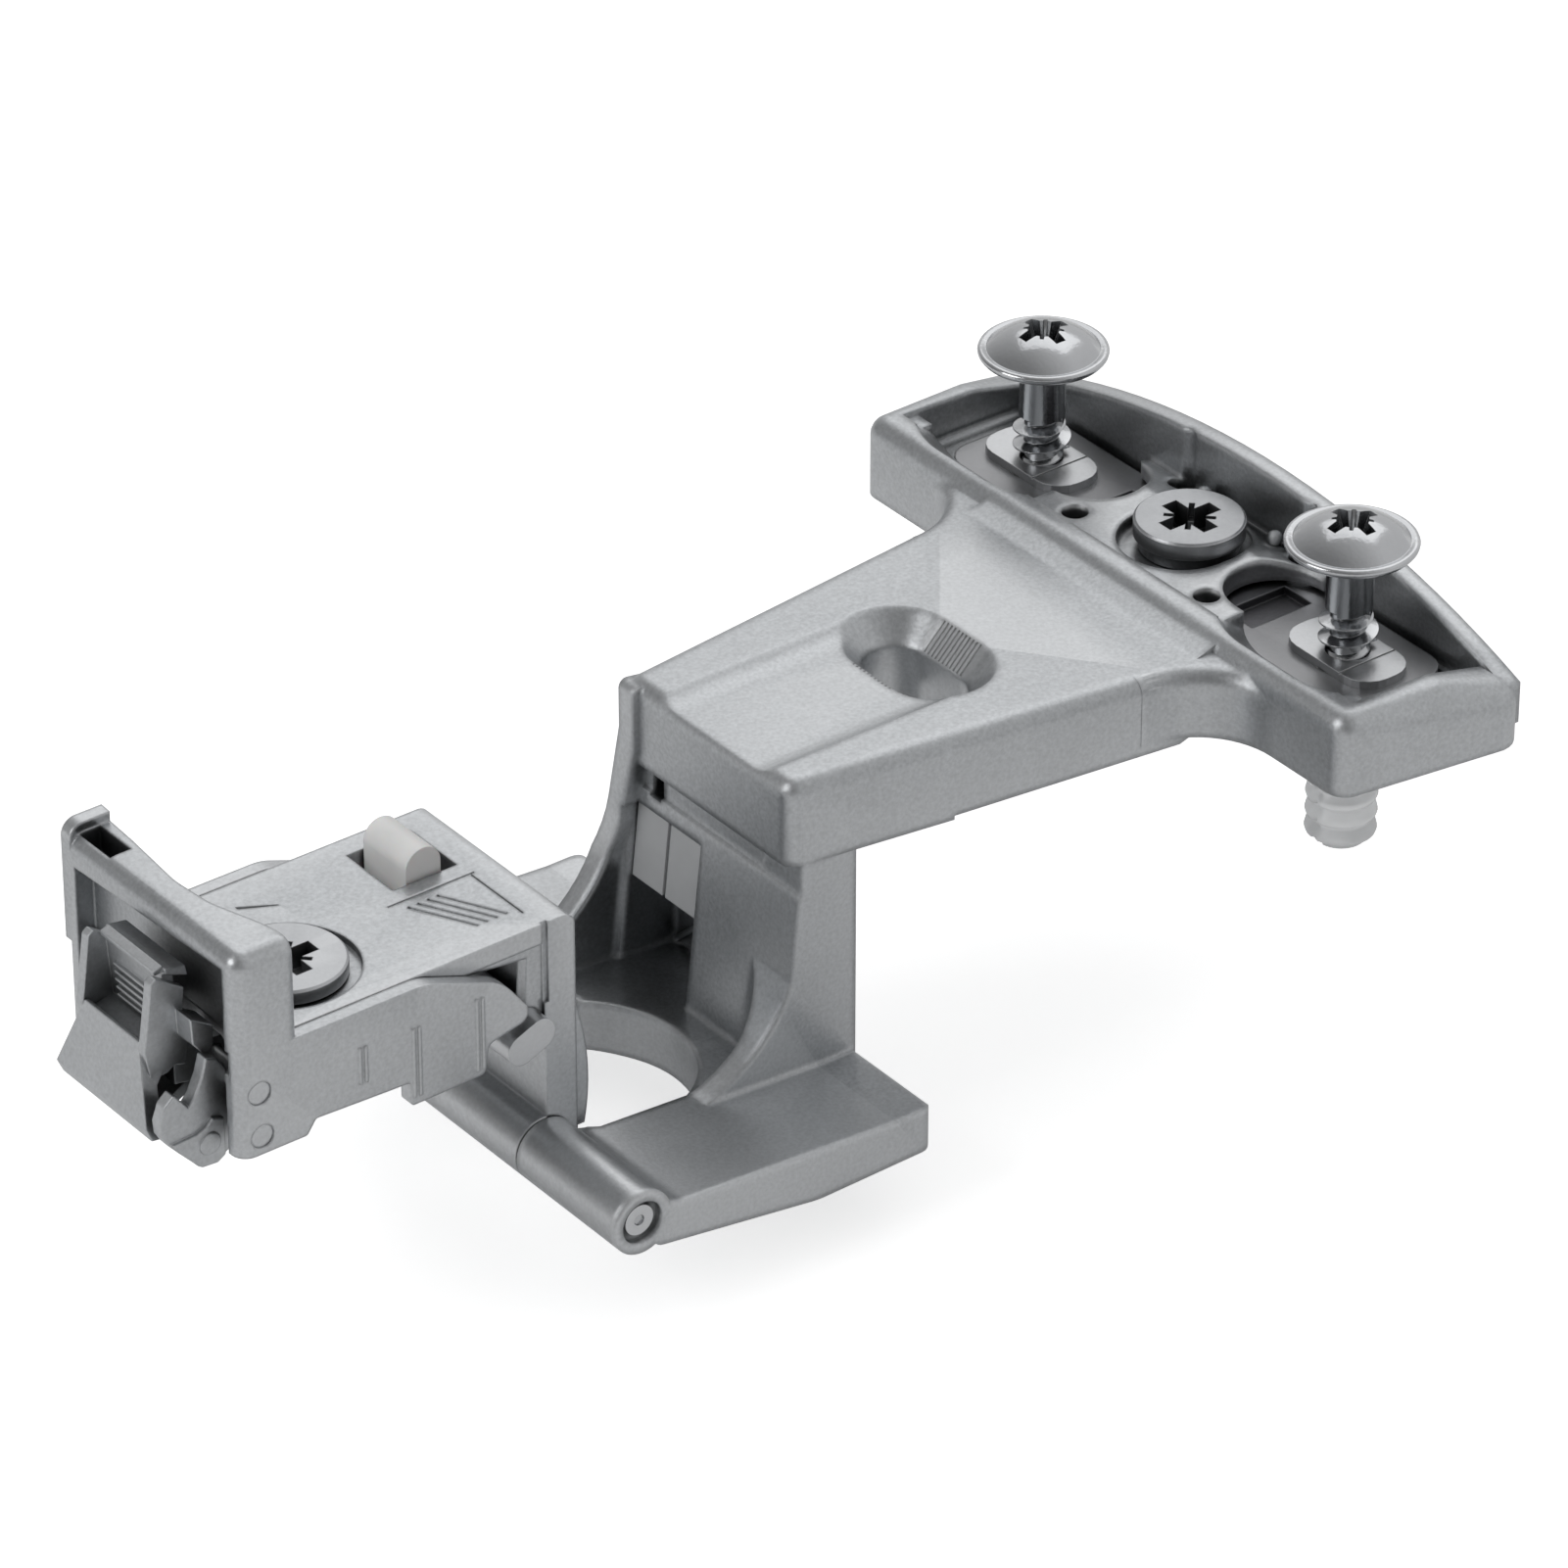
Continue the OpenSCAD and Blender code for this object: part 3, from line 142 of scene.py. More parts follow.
PIN_END = (-0.68, -6.45, 0.8)           # x, z and radius
PIN_SIDES = (-5.02, -4.7)
PIN_STEPS = 24

# Studio
CAMERA_AZIMUTH = -37.515
CAMERA_ELEVATION = 32.262
CAMERA_BACK, CAMERA_LEFT, CAMERA_DOWN = 578.204, 27.322, 12.197
FOCAL_PIXELS = 8774.781
PHOTO_PIXELS = 1601
SENSOR = 36
AIM = Vector((-0.035, 0, 0))
SWING_ROOM = 4.6 * MM       # the arm swings this far below the foot
PANELS = (("top_panel", (0.3, 0.28, 0.5), (0.6, 0.5), 0.55),
          ("left_panel", (-0.5, 0.1, 0.3), (0.3, 0.4), 0.8))

# Which solids get which finish
MEMBERS = {
    "cast_bracket": ["bracket"],
    "cast_metal": ["hinge_leaf", "arm_housing", "lever_axle", "catch_axle"],
    "satin_steel": ["dowel_plate_far", "dowel_plate_near", "stop_bar"],
    "cam_steel": ["height_cam", "depth_cam"],
    "bright_steel": ["flange_screw_far", "flange_screw_near", "hinge_pin"],
    "spring_steel": ["dowel_carrier", "cam_clip", "depth_cam_clip", "lever_spring"],
    "lever_metal": ["release_lever", "catch_claw"],
    "white_nylon": ["switch_lever"],
    "clear_nylon": ["dowel_far", "dowel_near"],
    "buffer": ["wall_buffer"],
}


# ---------------------------------------------------------------- settings

class HingeFinish(bpy.types.PropertyGroup):
    """Colours, grain and edges of the finishes"""
    cast_color: FloatVectorProperty(
        name="Castings", description="Colour of the plated castings",
        default=(0.495, 0.51, 0.525), min=0, max=1, subtype="COLOR")
    screw_color: FloatVectorProperty(
        name="Screws", description="Colour of the screws and the hinge pin",
        default=(0.54, 0.55, 0.565), min=0, max=1, subtype="COLOR")
    lever_color: FloatVectorProperty(
        name="Levers", description="Colour of the release lever and the catch",
        default=(0.48, 0.495, 0.51), min=0, max=1, subtype="COLOR")
    nylon_color: FloatVectorProperty(
        name="White nylon", description="Colour of the rocking lever",
        default=(0.88, 0.88, 0.87), min=0, max=1, subtype="COLOR")
    grain: FloatProperty(
        name="Grain", description="Size of the blasted grain", default=0.28 * MM,
        min=0.05 * MM, max=1 * MM, precision=6, subtype="DISTANCE", unit="LENGTH")
    grain_depth: FloatProperty(
        name="Grain depth", description="Depth of the blasted grain", default=0.03 * MM,
        min=0, max=0.2 * MM, precision=6, subtype="DISTANCE", unit="LENGTH")
    edge: FloatProperty(
        name="Edge radius", description="Radius of the springs' small edges", default=0.22 * MM,
        min=0, max=1 * MM, precision=6, subtype="DISTANCE", unit="LENGTH")


class HingeScrews(bpy.types.PropertyGroup):
    """Threads of the two flange screws and barbs of their dowels"""
    pitch: FloatProperty(
        name="Pitch", description="Pitch of the coarse thread", default=1.3 * MM,
        min=0.8 * MM, max=3 * MM, precision=6, subtype="DISTANCE", unit="LENGTH")
    steps: IntProperty(
        name="Steps", description="Steps in one turn of the thread", default=56, min=24, max=96)
    barbs: IntProperty(
        name="Barbs", description="Barbs on each dowel", default=5, min=1, max=5)
    barb_pitch: FloatProperty(
        name="Barb pitch", description="Distance from barb to barb", default=1.35 * MM,
        min=1.3 * MM, max=1.4 * MM, precision=6, subtype="DISTANCE", unit="LENGTH")


class HingeLevers(bpy.types.PropertyGroup):
    """Release lever and catch"""
    ribs: IntProperty(
        name="Ribs", description="Ribs on the thumb plate", default=5, min=0, max=7)
    rib_pitch: FloatProperty(
        name="Rib pitch", description="Distance from rib to rib", default=0.6 * MM,
        min=0.4 * MM, max=0.7 * MM, precision=6, subtype="DISTANCE", unit="LENGTH")
    lever_edge: FloatProperty(
        name="Lever edges", description="Bevel on the release lever's edges", default=0.1 * MM,
        min=0, max=0.2 * MM, precision=6, subtype="DISTANCE", unit="LENGTH")
    catch_edge: FloatProperty(
        name="Catch edges", description="Bevel on the catch's edges", default=0.12 * MM,
        min=0, max=0.2 * MM, precision=6, subtype="DISTANCE", unit="LENGTH")


class HingeStudio(bpy.types.PropertyGroup):
    """Light"""
    panel_light: FloatProperty(
        name="Panels", description="Strength of the two light panels", default=1.1, min=0, max=20)
    fill: FloatProperty(
        name="Fill", description="Strength of the surrounding light", default=0.5, min=0, max=5)


# ---------------------------------------------------------------- shader groups

def group(name, inputs, outputs):
    """New shader node group with its sockets; returns (group, input node, output node)."""
    g = bpy.data.node_groups.new(name, "ShaderNodeTree")
    for socket, kind, value in inputs:
        s = g.interface.new_socket(socket, in_out="INPUT", socket_type=kind)
        s.default_value = value
    for socket, kind in outputs:
        g.interface.new_socket(socket, in_out="OUTPUT", socket_type=kind)
    return g, g.nodes.new("NodeGroupInput"), g.nodes.new("NodeGroupOutput")


def node(tree, kind, label, **values):
    """New labelled node; each value goes to the node's own property or to its socket."""
    n = tree.nodes.new(kind)
    n.label = label
    for key, value in values.items():
        if hasattr(n, key):
            setattr(n, key, value)
        else:
            n.inputs[key].default_value = value
    return n


def ramp(tree, label, factor, *stops):
    """Colour ramp of greys fed by a factor; returns its output."""
    n = node(tree, "ShaderNodeValToRGB", label)
    elements = n.color_ramp.elements
    while len(elements) < len(stops):
        elements.new(0.5)
    for e, (at, value) in zip(elements, stops):
        e.position = at
        e.color = (value, value, value, 1)
    tree.links.new(factor, n.inputs[0])
    return n.outputs[0]


def mix_color(tree, label, blend, factor, a, b):
    """Mix two colours; each of the three values may be a socket."""
    n = node(tree, "ShaderNodeMix", label, data_type="RGBA", blend_type=blend)
    for socket, value in ((n.inputs[0], factor), (n.inputs[6], a), (n.inputs[7], b)):
        if isinstance(value, bpy.types.NodeSocket):
            tree.links.new(value, socket)
        else:
            socket.default_value = value
    return n.outputs[2]


def math_node(tree, label, operation, a, b):
    """Join two number sockets."""
    n = node(tree, "ShaderNodeMath", label, operation=operation)
    tree.links.new(a, n.inputs[0])
    tree.links.new(b, n.inputs[1])
    return n.outputs[0]


def noise(tree, label, **values):
    """Noise in object coordinates; returns its node."""
    where = node(tree, "ShaderNodeTexCoord", "object coordinates")
    n = node(tree, "ShaderNodeTexNoise", label, **values)
    tree.links.new(where.outputs["Object"], n.inputs["Vector"])
    return n


def relief(tree, label, height, edges, strength, depth):
    """Bump on top of softened edges; returns its normal."""
    bump = node(tree, "ShaderNodeBump", label, Strength=strength, Distance=depth)
    tree.links.new(height, bump.inputs["Height"])
    tree.links.new(edges.outputs[0], bump.inputs["Normal"])
    return bump.outputs[0]


def metal_group():
    """Blasted grain, clouding of the plating, painted shade in the hollows and a slightly brighter
    painted highlight on convex edges.
    """
    g, gi, go = group(
        "plated_metal",
        [("Color", "NodeSocketColor", (0.6, 0.6, 0.6, 1)), ("Roughness", "NodeSocketFloat", 0.4),
         ("Grain Scale", "NodeSocketFloat", 3500.0), ("Grain", "NodeSocketFloat", 1.0),
         ("Painted Edge Highlight", "NodeSocketFloat", 0.3), ("Edge", "NodeSocketFloat", 0.0002)],
        [("Color", "NodeSocketColor"), ("Roughness", "NodeSocketFloat"),
         ("Normal", "NodeSocketVector")])
    link = g.links.new
    grain = noise(g, "blasted grain", Detail=2.0, Roughness=0.55)
    link(gi.outputs["Grain Scale"], grain.inputs["Scale"])
    cloud = noise(g, "plating clouds", Scale=160.0, Detail=3.0)
    geometry = node(g, "ShaderNodeNewGeometry", "edges")
    edge = ramp(g, "outer edges", geometry.outputs["Pointiness"], (0.5, 0.0), (0.62, 1.0))
    speck = ramp(g, "grain shade", grain.outputs[0], (0.3, 0.86), (0.7, 1.08))
    cloudy = ramp(g, "cloud shade", cloud.outputs[0], (0.3, 0.95), (0.7, 1.03))
    # Painted shade: ambient occlusion within 4.5 mm darkens the colour in hollows, corners and
    # between parts, where shade falls.
    painted_shade_ao = node(g, "ShaderNodeAmbientOcclusion", "hollows", samples=8, Distance=4.5 * MM)
    shade = ramp(g, "shade in hollows", painted_shade_ao.outputs["AO"], (0.0, 0.1), (0.25, 0.45),
                 (0.5, 0.9), (0.7, 1.0))
    color = mix_color(g, "grain on colour", "MULTIPLY", gi.outputs["Grain"],
                      gi.outputs["Color"], speck)
    color = mix_color(g, "clouds on colour", "MULTIPLY", 1.0, color, cloudy)
    color = mix_color(g, "painted shade in hollows", "MULTIPLY", 1.0, color, shade)
    # Painted highlight: convex edges are mixed towards a light grey, standing in for the light that
    # rounded edges catch.
    painted_highlight = math_node(g, "painted highlight amount", "MULTIPLY", edge, gi.outputs["Painted Edge Highlight"])
    color = mix_color(g, "painted highlight on edges", "MIX", painted_highlight, color, (0.86, 0.87, 0.88, 1))
    link(color, go.inputs["Color"])
    link(math_node(g, "cloudy roughness", "MULTIPLY", gi.outputs["Roughness"], cloudy),
         go.inputs["Roughness"])
    soft = node(g, "ShaderNodeBevel", "small cast edges", samples=6)
    link(gi.outputs["Edge"], soft.inputs["Radius"])
    depth = bpy.context.scene.hinge_finish.grain_depth
    link(relief(g, "grain relief", grain.outputs[0], soft, 0.35, depth), go.inputs["Normal"])
    return g


def plastic_group():
    """Moulded plastic: faint mottling and a fine orange-peel surface."""
    g, gi, go = group(
        "moulded_plastic",
        [("Color", "NodeSocketColor", (0.8, 0.8, 0.8, 1)), ("Roughness", "NodeSocketFloat", 0.4)],
        [("Color", "NodeSocketColor"), ("Roughness", "NodeSocketFloat"),
         ("Normal", "NodeSocketVector")])
    link = g.links.new
    mottle = noise(g, "mottling", Scale=420.0, Detail=3.0)
    shade = ramp(g, "mottle shade", mottle.outputs[0], (0.3, 0.94), (0.7, 1.02))
    link(mix_color(g, "mottle on colour", "MULTIPLY", 1.0, gi.outputs["Color"], shade),
         go.inputs["Color"])
    link(math_node(g, "roughness change", "MULTIPLY", gi.outputs["Roughness"], shade),
         go.inputs["Roughness"])
    peel = noise(g, "orange peel", Scale=1800.0, Detail=1.0)
    soft = node(g, "ShaderNodeBevel", "moulded edges", samples=6, Radius=0.15 * MM)
    link(relief(g, "peel relief", peel.outputs[0], soft, 0.2, 0.02 * MM), go.inputs["Normal"])
    return g


def material(name, kind, color, roughness, grain=1.0, edge=None, **sockets):
    """Principled material whose colour, roughness and normal come from a shared group."""
    m = bpy.data.materials.new(name)
    m.use_nodes = True
    tree = m.node_tree
    shader = tree.nodes["Principled BSDF"]
    g = node(tree, "ShaderNodeGroup", kind)
    g.node_tree = STATE[kind]
    g.inputs["Color"].default_value = (*color, 1)
    g.inputs["Roughness"].default_value = roughness
    if kind == "metal":
        look = bpy.context.scene.hinge_finish
        g.inputs["Grain Scale"].default_value = 1 / look.grain
        g.inputs["Grain"].default_value = grain
        g.inputs["Edge"].default_value = look.edge if edge is None else edge * MM
    for out, into in (("Color", "Base Color"), ("Roughness", "Roughness"), ("Normal", "Normal")):
        tree.links.new(g.outputs[out], shader.inputs[into])
    shader.inputs["Metallic"].default_value = 1.0 if kind == "metal" else 0.0
    for key, value in sockets.items():
        shader.inputs[key.replace("_", " ")].default_value = value
    m.diffuse_color = (*color, 1)
    return m


class HINGE_OT_finishes(bpy.types.Operator):
    """Give every solid its plated metal or moulded plastic"""
    bl_idname = "hinge.finishes"
    bl_label = "Finishes"

    def execute(self, context):
        look = context.scene.hinge_finish
        STATE["metal"] = metal_group()
        STATE["plastic"] = plastic_group()
        metals = {
            "cast_metal": (look.cast_color, 0.36, 1.0, 0.3),
            "cast_bracket": (look.cast_color, 0.36, 1.0, 0.8),
            "satin_steel": ((0.545, 0.555, 0.57), 0.36, 0.35, 0.1),
            "cam_steel": ((0.42, 0.43, 0.445), 0.36, 0.35, 0.1),
            "bright_steel": (look.screw_color, 0.17, 0.1, 0.05),
            "spring_steel": ((0.16, 0.16, 0.17), 0.4, 0.4, None),
            "lever_metal": (look.lever_color, 0.42, 0.9, 0.1),
        }
        plastics = {
            "white_nylon": (look.nylon_color, 0.38,
                            dict(Subsurface_Weight=0.1, Subsurface_Scale=1 * MM)),
            "clear_nylon": ((0.93, 0.94, 0.95), 0.2, dict(Transmission_Weight=0.35, IOR=1.5)),
            "buffer": ((0.46, 0.47, 0.48), 0.5, {}),
        }
        made = STATE["materials"] = {}
        for name, (color, roughness, grain, edge) in metals.items():
            made[name] = material(name, "metal", color, roughness, grain, edge)
        for name, (color, roughness, sockets) in plastics.items():
            made[name] = material(name, "plastic", color, roughness, **sockets)
        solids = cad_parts
        for name, members in MEMBERS.items():
            for member in members:
                for slot in solids[member].material_slots:
                    slot.material = made[name]
                if not solids[member].material_slots:
                    solids[member].data.materials.append(made[name])
        left = set(solids) - {member for members in MEMBERS.values() for member in members}
        if left:
            raise RuntimeError(f"no finish for {sorted(left)}")
        return {"FINISHED"}


# ---------------------------------------------------------------- mesh helpers

def add_piece(name, bm, mat, body, replaced, bevel=0.0):
    """Finish a mesh as a piece: normals, material, the body it rides on, the solid it replaces."""
    bmesh.ops.recalc_face_normals(bm, faces=bm.faces)
    mesh = bpy.data.meshes.new(name)
    bm.to_mesh(mesh)
    bm.free()
    o = bpy.data.objects.new(name, mesh)
    bpy.context.scene.collection.objects.link(o)
    mesh.materials.append(STATE["materials"][mat])
    mesh.shade_smooth()
    if bevel:
        m = o.modifiers.new("small_edges", "BEVEL")
        m.width = bevel
        m.segments = 2
        m.limit_method = "ANGLE"
        m.angle_limit = BEVEL_ANGLE
        m.harden_normals = True
    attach(o, body)
    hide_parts(replaced)
    return o


def vertex(bm, x, y, z):
    """New vertex at a place in mm."""
    return bm.verts.new(Vector((x, y, z)) * MM)


def ring_faces(bm, a, b):
    """Faces between two rings of vertices."""
    n = len(a)
    for i in range(n):
        bm.faces.new((a[i], a[(i + 1) % n], b[(i + 1) % n], b[i]))


def turned(bm, profile, y, steps, radius_at=lambda r, z, angle: r):
    """Body turned round the upright axis at y, open at both ends; returns its rings."""
    rings = []
    for r, z in profile:
        ring = []
        for i in range(steps):
            angle = 2 * math.pi * i / steps
            reach = radius_at(r, z, angle)
            ring.append(vertex(bm, reach * math.cos(angle), y + reach * math.sin(angle), z))
        rings.append(ring)
    for a, b in zip(rings, rings[1:]):
        ring_faces(bm, a, b)
    return rings


def loft(bm, near, far):
    """Closed shell between two outlines with the same number of points."""
    a = [vertex(bm, *p) for p in near]
    b = [vertex(bm, *p) for p in far]
    ring_faces(bm, a, b)
    bm.faces.new(a)
    bm.faces.new(list(reversed(b)))


def plate(bm, outline, y0, y1):
    """Plate with an (x, z) outline, x counted from the clip block's front, between two y."""
    loft(bm, [(FRONT + x, y0, z) for x, z in outline],
         [(FRONT + x, y1, z) for x, z in outline])


def lever_plate(bm, outline, from_middle, to_middle):
    """Plate of the release lever, its sides counted from the lever's middle."""
    plate(bm, outline, MIDDLE + from_middle, MIDDLE + to_middle)


# ---------------------------------------------------------------- screws and dowels

def star(reach, wing, tick, waist):
    """Outline of a cross recess with four small wedges between its wings."""
    quarter = ((waist, -wing), (reach, -wing * 0.9), (reach, wing * 0.9), (waist, wing),
               (waist * 0.86, waist * 0.62), (tick, tick * 0.84), (tick * 0.84, tick),
               (waist * 0.62, waist * 0.86))
    turns = [Matrix.Rotation(math.radians(90 * i), 2) for i in range(4)]
    return [turn @ Vector(p) for turn in turns for p in quarter]


def thread_radius(z, phase):
    """Radius of the shank and its coarse thread; the phase runs from 0 to 1 over one pitch."""
    if z <= SCREW_TIP:
        return CORE_R
    if z > SHANK_END:
        return SHANK_R
    crest = max(0.0, 1 - abs(phase - 0.5) / CREST_WIDTH)
    runout = min(1.0, (SHANK_END - z) / THREAD_RUNOUT)
    outer = CREST_R if z > FULL_THREAD_FROM else CREST_R_IN_DOWEL
    return CORE_R + (outer - CORE_R) * min(1.0, crest * CREST_FLAT) * runout


def dome_profile():
    """Ball-shaped top of the head, from its rim up, without the pole."""
    r0, z0, z1 = DOME
    ball = (r0 ** 2 + (z1 - z0) ** 2) / (2 * (z1 - z0))
    full = math.asin(r0 / ball)
    angles = [full * (1 - i / DOME_STEPS) for i in range(1, DOME_STEPS)]
    return [(ball * math.sin(a), z1 - ball + ball * math.cos(a)) for a in angles]


def screw_mesh(y, pitch, steps):
    """Closed mesh of one screw: winding thread, shank, flange and dome."""
    bm = bmesh.new()
    top = SHANK_END + SHANK_BLEND
    per_turn = len(THREAD_PHASES)
    rows = int((SHANK_END - SCREW_TIP) / pitch + 3) * per_turn
    columns = []
    for i in range(steps + 1):
        angle = 2 * math.pi * i / steps
        column = []
        for j in range(rows):
            phase = THREAD_PHASES[j % per_turn]
            z = SCREW_TIP - pitch + pitch * (j // per_turn + phase + i / steps)
            z = min(max(z, SCREW_TIP), top)
            r = thread_radius(z, phase)
            column.append(vertex(bm, r * math.cos(angle), y + r * math.sin(angle), z))
        columns.append(column)
    for a, b in zip(columns, columns[1:]):
        for j in range(rows - 1):
            bm.faces.new((a[j], b[j], b[j + 1], a[j + 1]))
    rings = turned(bm, [(SHANK_R, top)] + FLANGE + dome_profile(), y, steps)
    bm.faces.new(list(reversed(rings[-1])))
    # join the thread to the shank and close the tip
    bmesh.ops.remove_doubles(bm, verts=bm.verts, dist=0.002 * MM)
    bmesh.ops.holes_fill(bm, edges=[e for e in bm.edges if e.is_boundary], sides=0)
    if any(not e.is_manifold for e in bm.edges):
        raise RuntimeError("screw is not closed")
    return bm


def cut_recess(o, y):
    """Cut the cross recess into a screw's head and apply the cut."""
    top = DOME[2]
    bm = bmesh.new()
    loft(bm, [(p.x, y + p.y, top + RECESS_OVER) for p in star(**RECESS_TOP)],
         [(p.x, y + p.y, top - RECESS_DEPTH) for p in star(**RECESS_FLOOR)])
    bmesh.ops.recalc_face_normals(bm, faces=bm.faces)
    mesh = bpy.data.meshes.new("recess_cutter")
    bm.to_mesh(mesh)
    bm.free()
    cutter = bpy.data.objects.new("recess_cutter", mesh)
    bpy.context.scene.collection.objects.link(cutter)
    m = o.modifiers.new("recess", "BOOLEAN")
    m.operation = "DIFFERENCE"
    m.solver = "EXACT"
    m.object = cutter
    bpy.context.view_layer.update()
    depsgraph = bpy.context.evaluated_depsgraph_get()
    cut = bpy.data.meshes.new_from_object(o.evaluated_get(depsgraph))
    o.modifiers.clear()
    o.data = cut
    bpy.data.objects.remove(cutter)
    cut.set_sharp_from_angle(angle=SHARP_ANGLE)


class HINGE_OT_screws(bpy.types.Operator):
    """Build the two flange screws with their winding thread, domed head and cross recess"""
    bl_idname = "hinge.screws"
    bl_label = "Screws"

    def execute(self, context):
        look = context.scene.hinge_screws
        for side, y in SCREW_ROWS:
            name = "flange_screw_" + side
            bm = screw_mesh(y, look.pitch / MM, look.steps)
            o = add_piece(name + "_threaded", bm, "bright_steel", "carrier_body", name)
            cut_recess(o, y)
        return {"FINISHED"}


def slotted(r, z, angle):
    """Radius of a dowel with a shallow slot down each side."""
    return r - (SLOT_DEPTH if abs(math.sin(angle)) < SLOT_HALF and z < SLOT_FROM else 0.0)


class HINGE_OT_dowels(bpy.types.Operator):
    """Build the two nylon dowels with their rounded barbs and side slots"""
    bl_idname = "hinge.dowels"
    bl_label = "Dowels"

    def execute(self, context):
        look = context.scene.hinge_screws
        foot = [BARBS_FROM - look.barb_pitch / MM * i for i in range(look.barbs + 1)]
        profile = list(DOWEL_COLLAR)
        for z0 in foot[:-1]:
            profile += [(r, z0 + z) for r, z in DOWEL_BARB]
        profile += [(r, foot[-1] + z) for r, z in DOWEL_TIP]
        for side, y in SCREW_ROWS:
            bm = bmesh.new()
            rings = turned(bm, profile, y, DOWEL_STEPS, slotted)
            bm.faces.new(rings[-1])
            bm.faces.new(list(reversed(rings[0])))
            name = "dowel_" + side
            add_piece(name + "_barbed", bm, "clear_nylon", "carrier_body", name)
        return {"FINISHED"}


# ---------------------------------------------------------------- lever and catch

class HINGE_OT_lever(bpy.types.Operator):
    """Build the release lever: flap, ribbed thumb plate between two ears, cheeks and lug"""
    bl_idname = "hinge.lever"
    bl_label = "Release lever"

    def execute(self, context):
        look = context.scene.hinge_levers
        bm = bmesh.new()
        loft(bm, [(FRONT + x, MIDDLE - w, z) for x, z, w in FLAP],
             [(FRONT + x, MIDDLE + w, z) for x, z, w in FLAP])
        for outline, y0, y1 in LEVER_PLATES:
            lever_plate(bm, outline, y0, y1)
        for i in range(look.ribs):
            z0 = RIB_FOOT[1] + look.rib_pitch / MM * i
            x0 = RIB_FOOT[0] - RIB_LEAN * z0
            lever_plate(bm, [(x0 + x, z0 + z) for x, z in RIB], *RIB_SIDES)
        add_piece("release_lever_ribbed", bm, "lever_metal", "release_body", "release_lever",
                  bevel=look.lever_edge)
        return {"FINISHED"}


class HINGE_OT_catch(bpy.types.Operator):
    """Build the curved catch with its riveted pin end"""
    bl_idname = "hinge.catch"
    bl_label = "Catch"

    def execute(self, context):
        bm = bmesh.new()
        for outline, y0, y1 in CATCH_PLATES:
            plate(bm, outline, y0, y1)
        x, z, r = PIN_END
        turn = [2 * math.pi * i / PIN_STEPS for i in range(PIN_STEPS)]
        plate(bm, [(x + r * math.cos(a), z + r * math.sin(a)) for a in turn], *PIN_SIDES)
        add_piece("catch_hook", bm, "lever_metal", "catch_body", "catch_claw",
                  bevel=context.scene.hinge_levers.catch_edge)
        return {"FINISHED"}


# ---------------------------------------------------------------- studio

def seen_by(tree, *rays):
    """Output that is 1 for any of the named kinds of ray."""
    path = node(tree, "ShaderNodeLightPath", "kind of ray")
    out = path.outputs[rays[0]]
    for name in rays[1:]:
        out = math_node(tree, "or " + name.lower(), "MAXIMUM", out, path.outputs[name])
    return out


def mix_shader(tree, label, factor, a, b):
    """Mix two shaders by a socket; returns the output."""
    n = node(tree, "ShaderNodeMixShader", label)
    for socket, value in zip(n.inputs, (factor, a, b)):
        tree.links.new(value, socket)
    return n.outputs[0]


def map_range(tree, label, value, low, high, to_low=0.0, to_high=1.0):
    """Map a number from one range to another; returns the output."""
    n = node(tree, "ShaderNodeMapRange", label)
    for key, number in (("From Min", low), ("From Max", high), ("To Min", to_low),
                        ("To Max", to_high)):
        n.inputs[key].default_value = number
    tree.links.new(value, n.inputs["Value"])
    return n.outputs[0]


def world_light(fill):
    """Even room light, a room that is brighter on the right in reflections, white to the camera."""
    world = bpy.data.worlds.new("studio")
    bpy.context.scene.world = world
    world.use_nodes = True
    tree = world.node_tree
    tree.nodes.clear()
    link = tree.links.new
    where = node(tree, "ShaderNodeTexCoord", "direction")
    split = node(tree, "ShaderNodeSeparateXYZ", "sides and height")
    link(where.outputs["Generated"], split.inputs[0])
    height = map_range(tree, "up or down", split.outputs["Z"], -1, 1)
    walls = ramp(tree, "studio walls", height, (0.0, 0.5), (0.5, 0.5), (0.65, 0.8), (0.85, 1.0))
    room = node(tree, "ShaderNodeBackground", "room", Strength=fill)
    link(walls, room.inputs["Color"])
    side = map_range(tree, "left or right", split.outputs["X"], -0.5, 0.5, 0.3, 0.86)
    mirrored = node(tree, "ShaderNodeBackground", "room in reflections")
    link(side, mirrored.inputs["Strength"])
    white = node(tree, "ShaderNodeBackground", "white backdrop", Color=(1, 1, 1, 1), Strength=1.0)
    light = mix_shader(tree, "reflections", seen_by(tree, "Is Glossy Ray"), room.outputs[0],
                       mirrored.outputs[0])
    light = mix_shader(tree, "white to the camera",
                       seen_by(tree, "Is Camera Ray", "Is Transmission Ray"), light,
                       white.outputs[0])
    link(light, node(tree, "ShaderNodeOutputWorld", "world").inputs["Surface"])


def floor_paper():
    """White paper that takes shadows and glows a little to the camera."""
    paper = bpy.data.materials.new("floor_paper")
    paper.use_nodes = True
    tree = paper.node_tree
    shade = tree.nodes["Principled BSDF"]
    shade.inputs["Base Color"].default_value = (0.97, 0.97, 0.97, 1)
    shade.inputs["Roughness"].default_value = 0.9
    shade.inputs["Specular IOR Level"].default_value = 0.1
    glow = node(tree, "ShaderNodeEmission", "white paper", Strength=0.6)
    lit = node(tree, "ShaderNodeAddShader", "lit paper")
    tree.links.new(shade.outputs[0], lit.inputs[0])
    tree.links.new(glow.outputs[0], lit.inputs[1])
    surface = mix_shader(tree, "glow for the camera",
                         seen_by(tree, "Is Camera Ray", "Is Transmission Ray"),
                         shade.outputs[0], lit.outputs[0])
    tree.links.new(surface, tree.nodes["Material Output"].inputs["Surface"])
    return paper


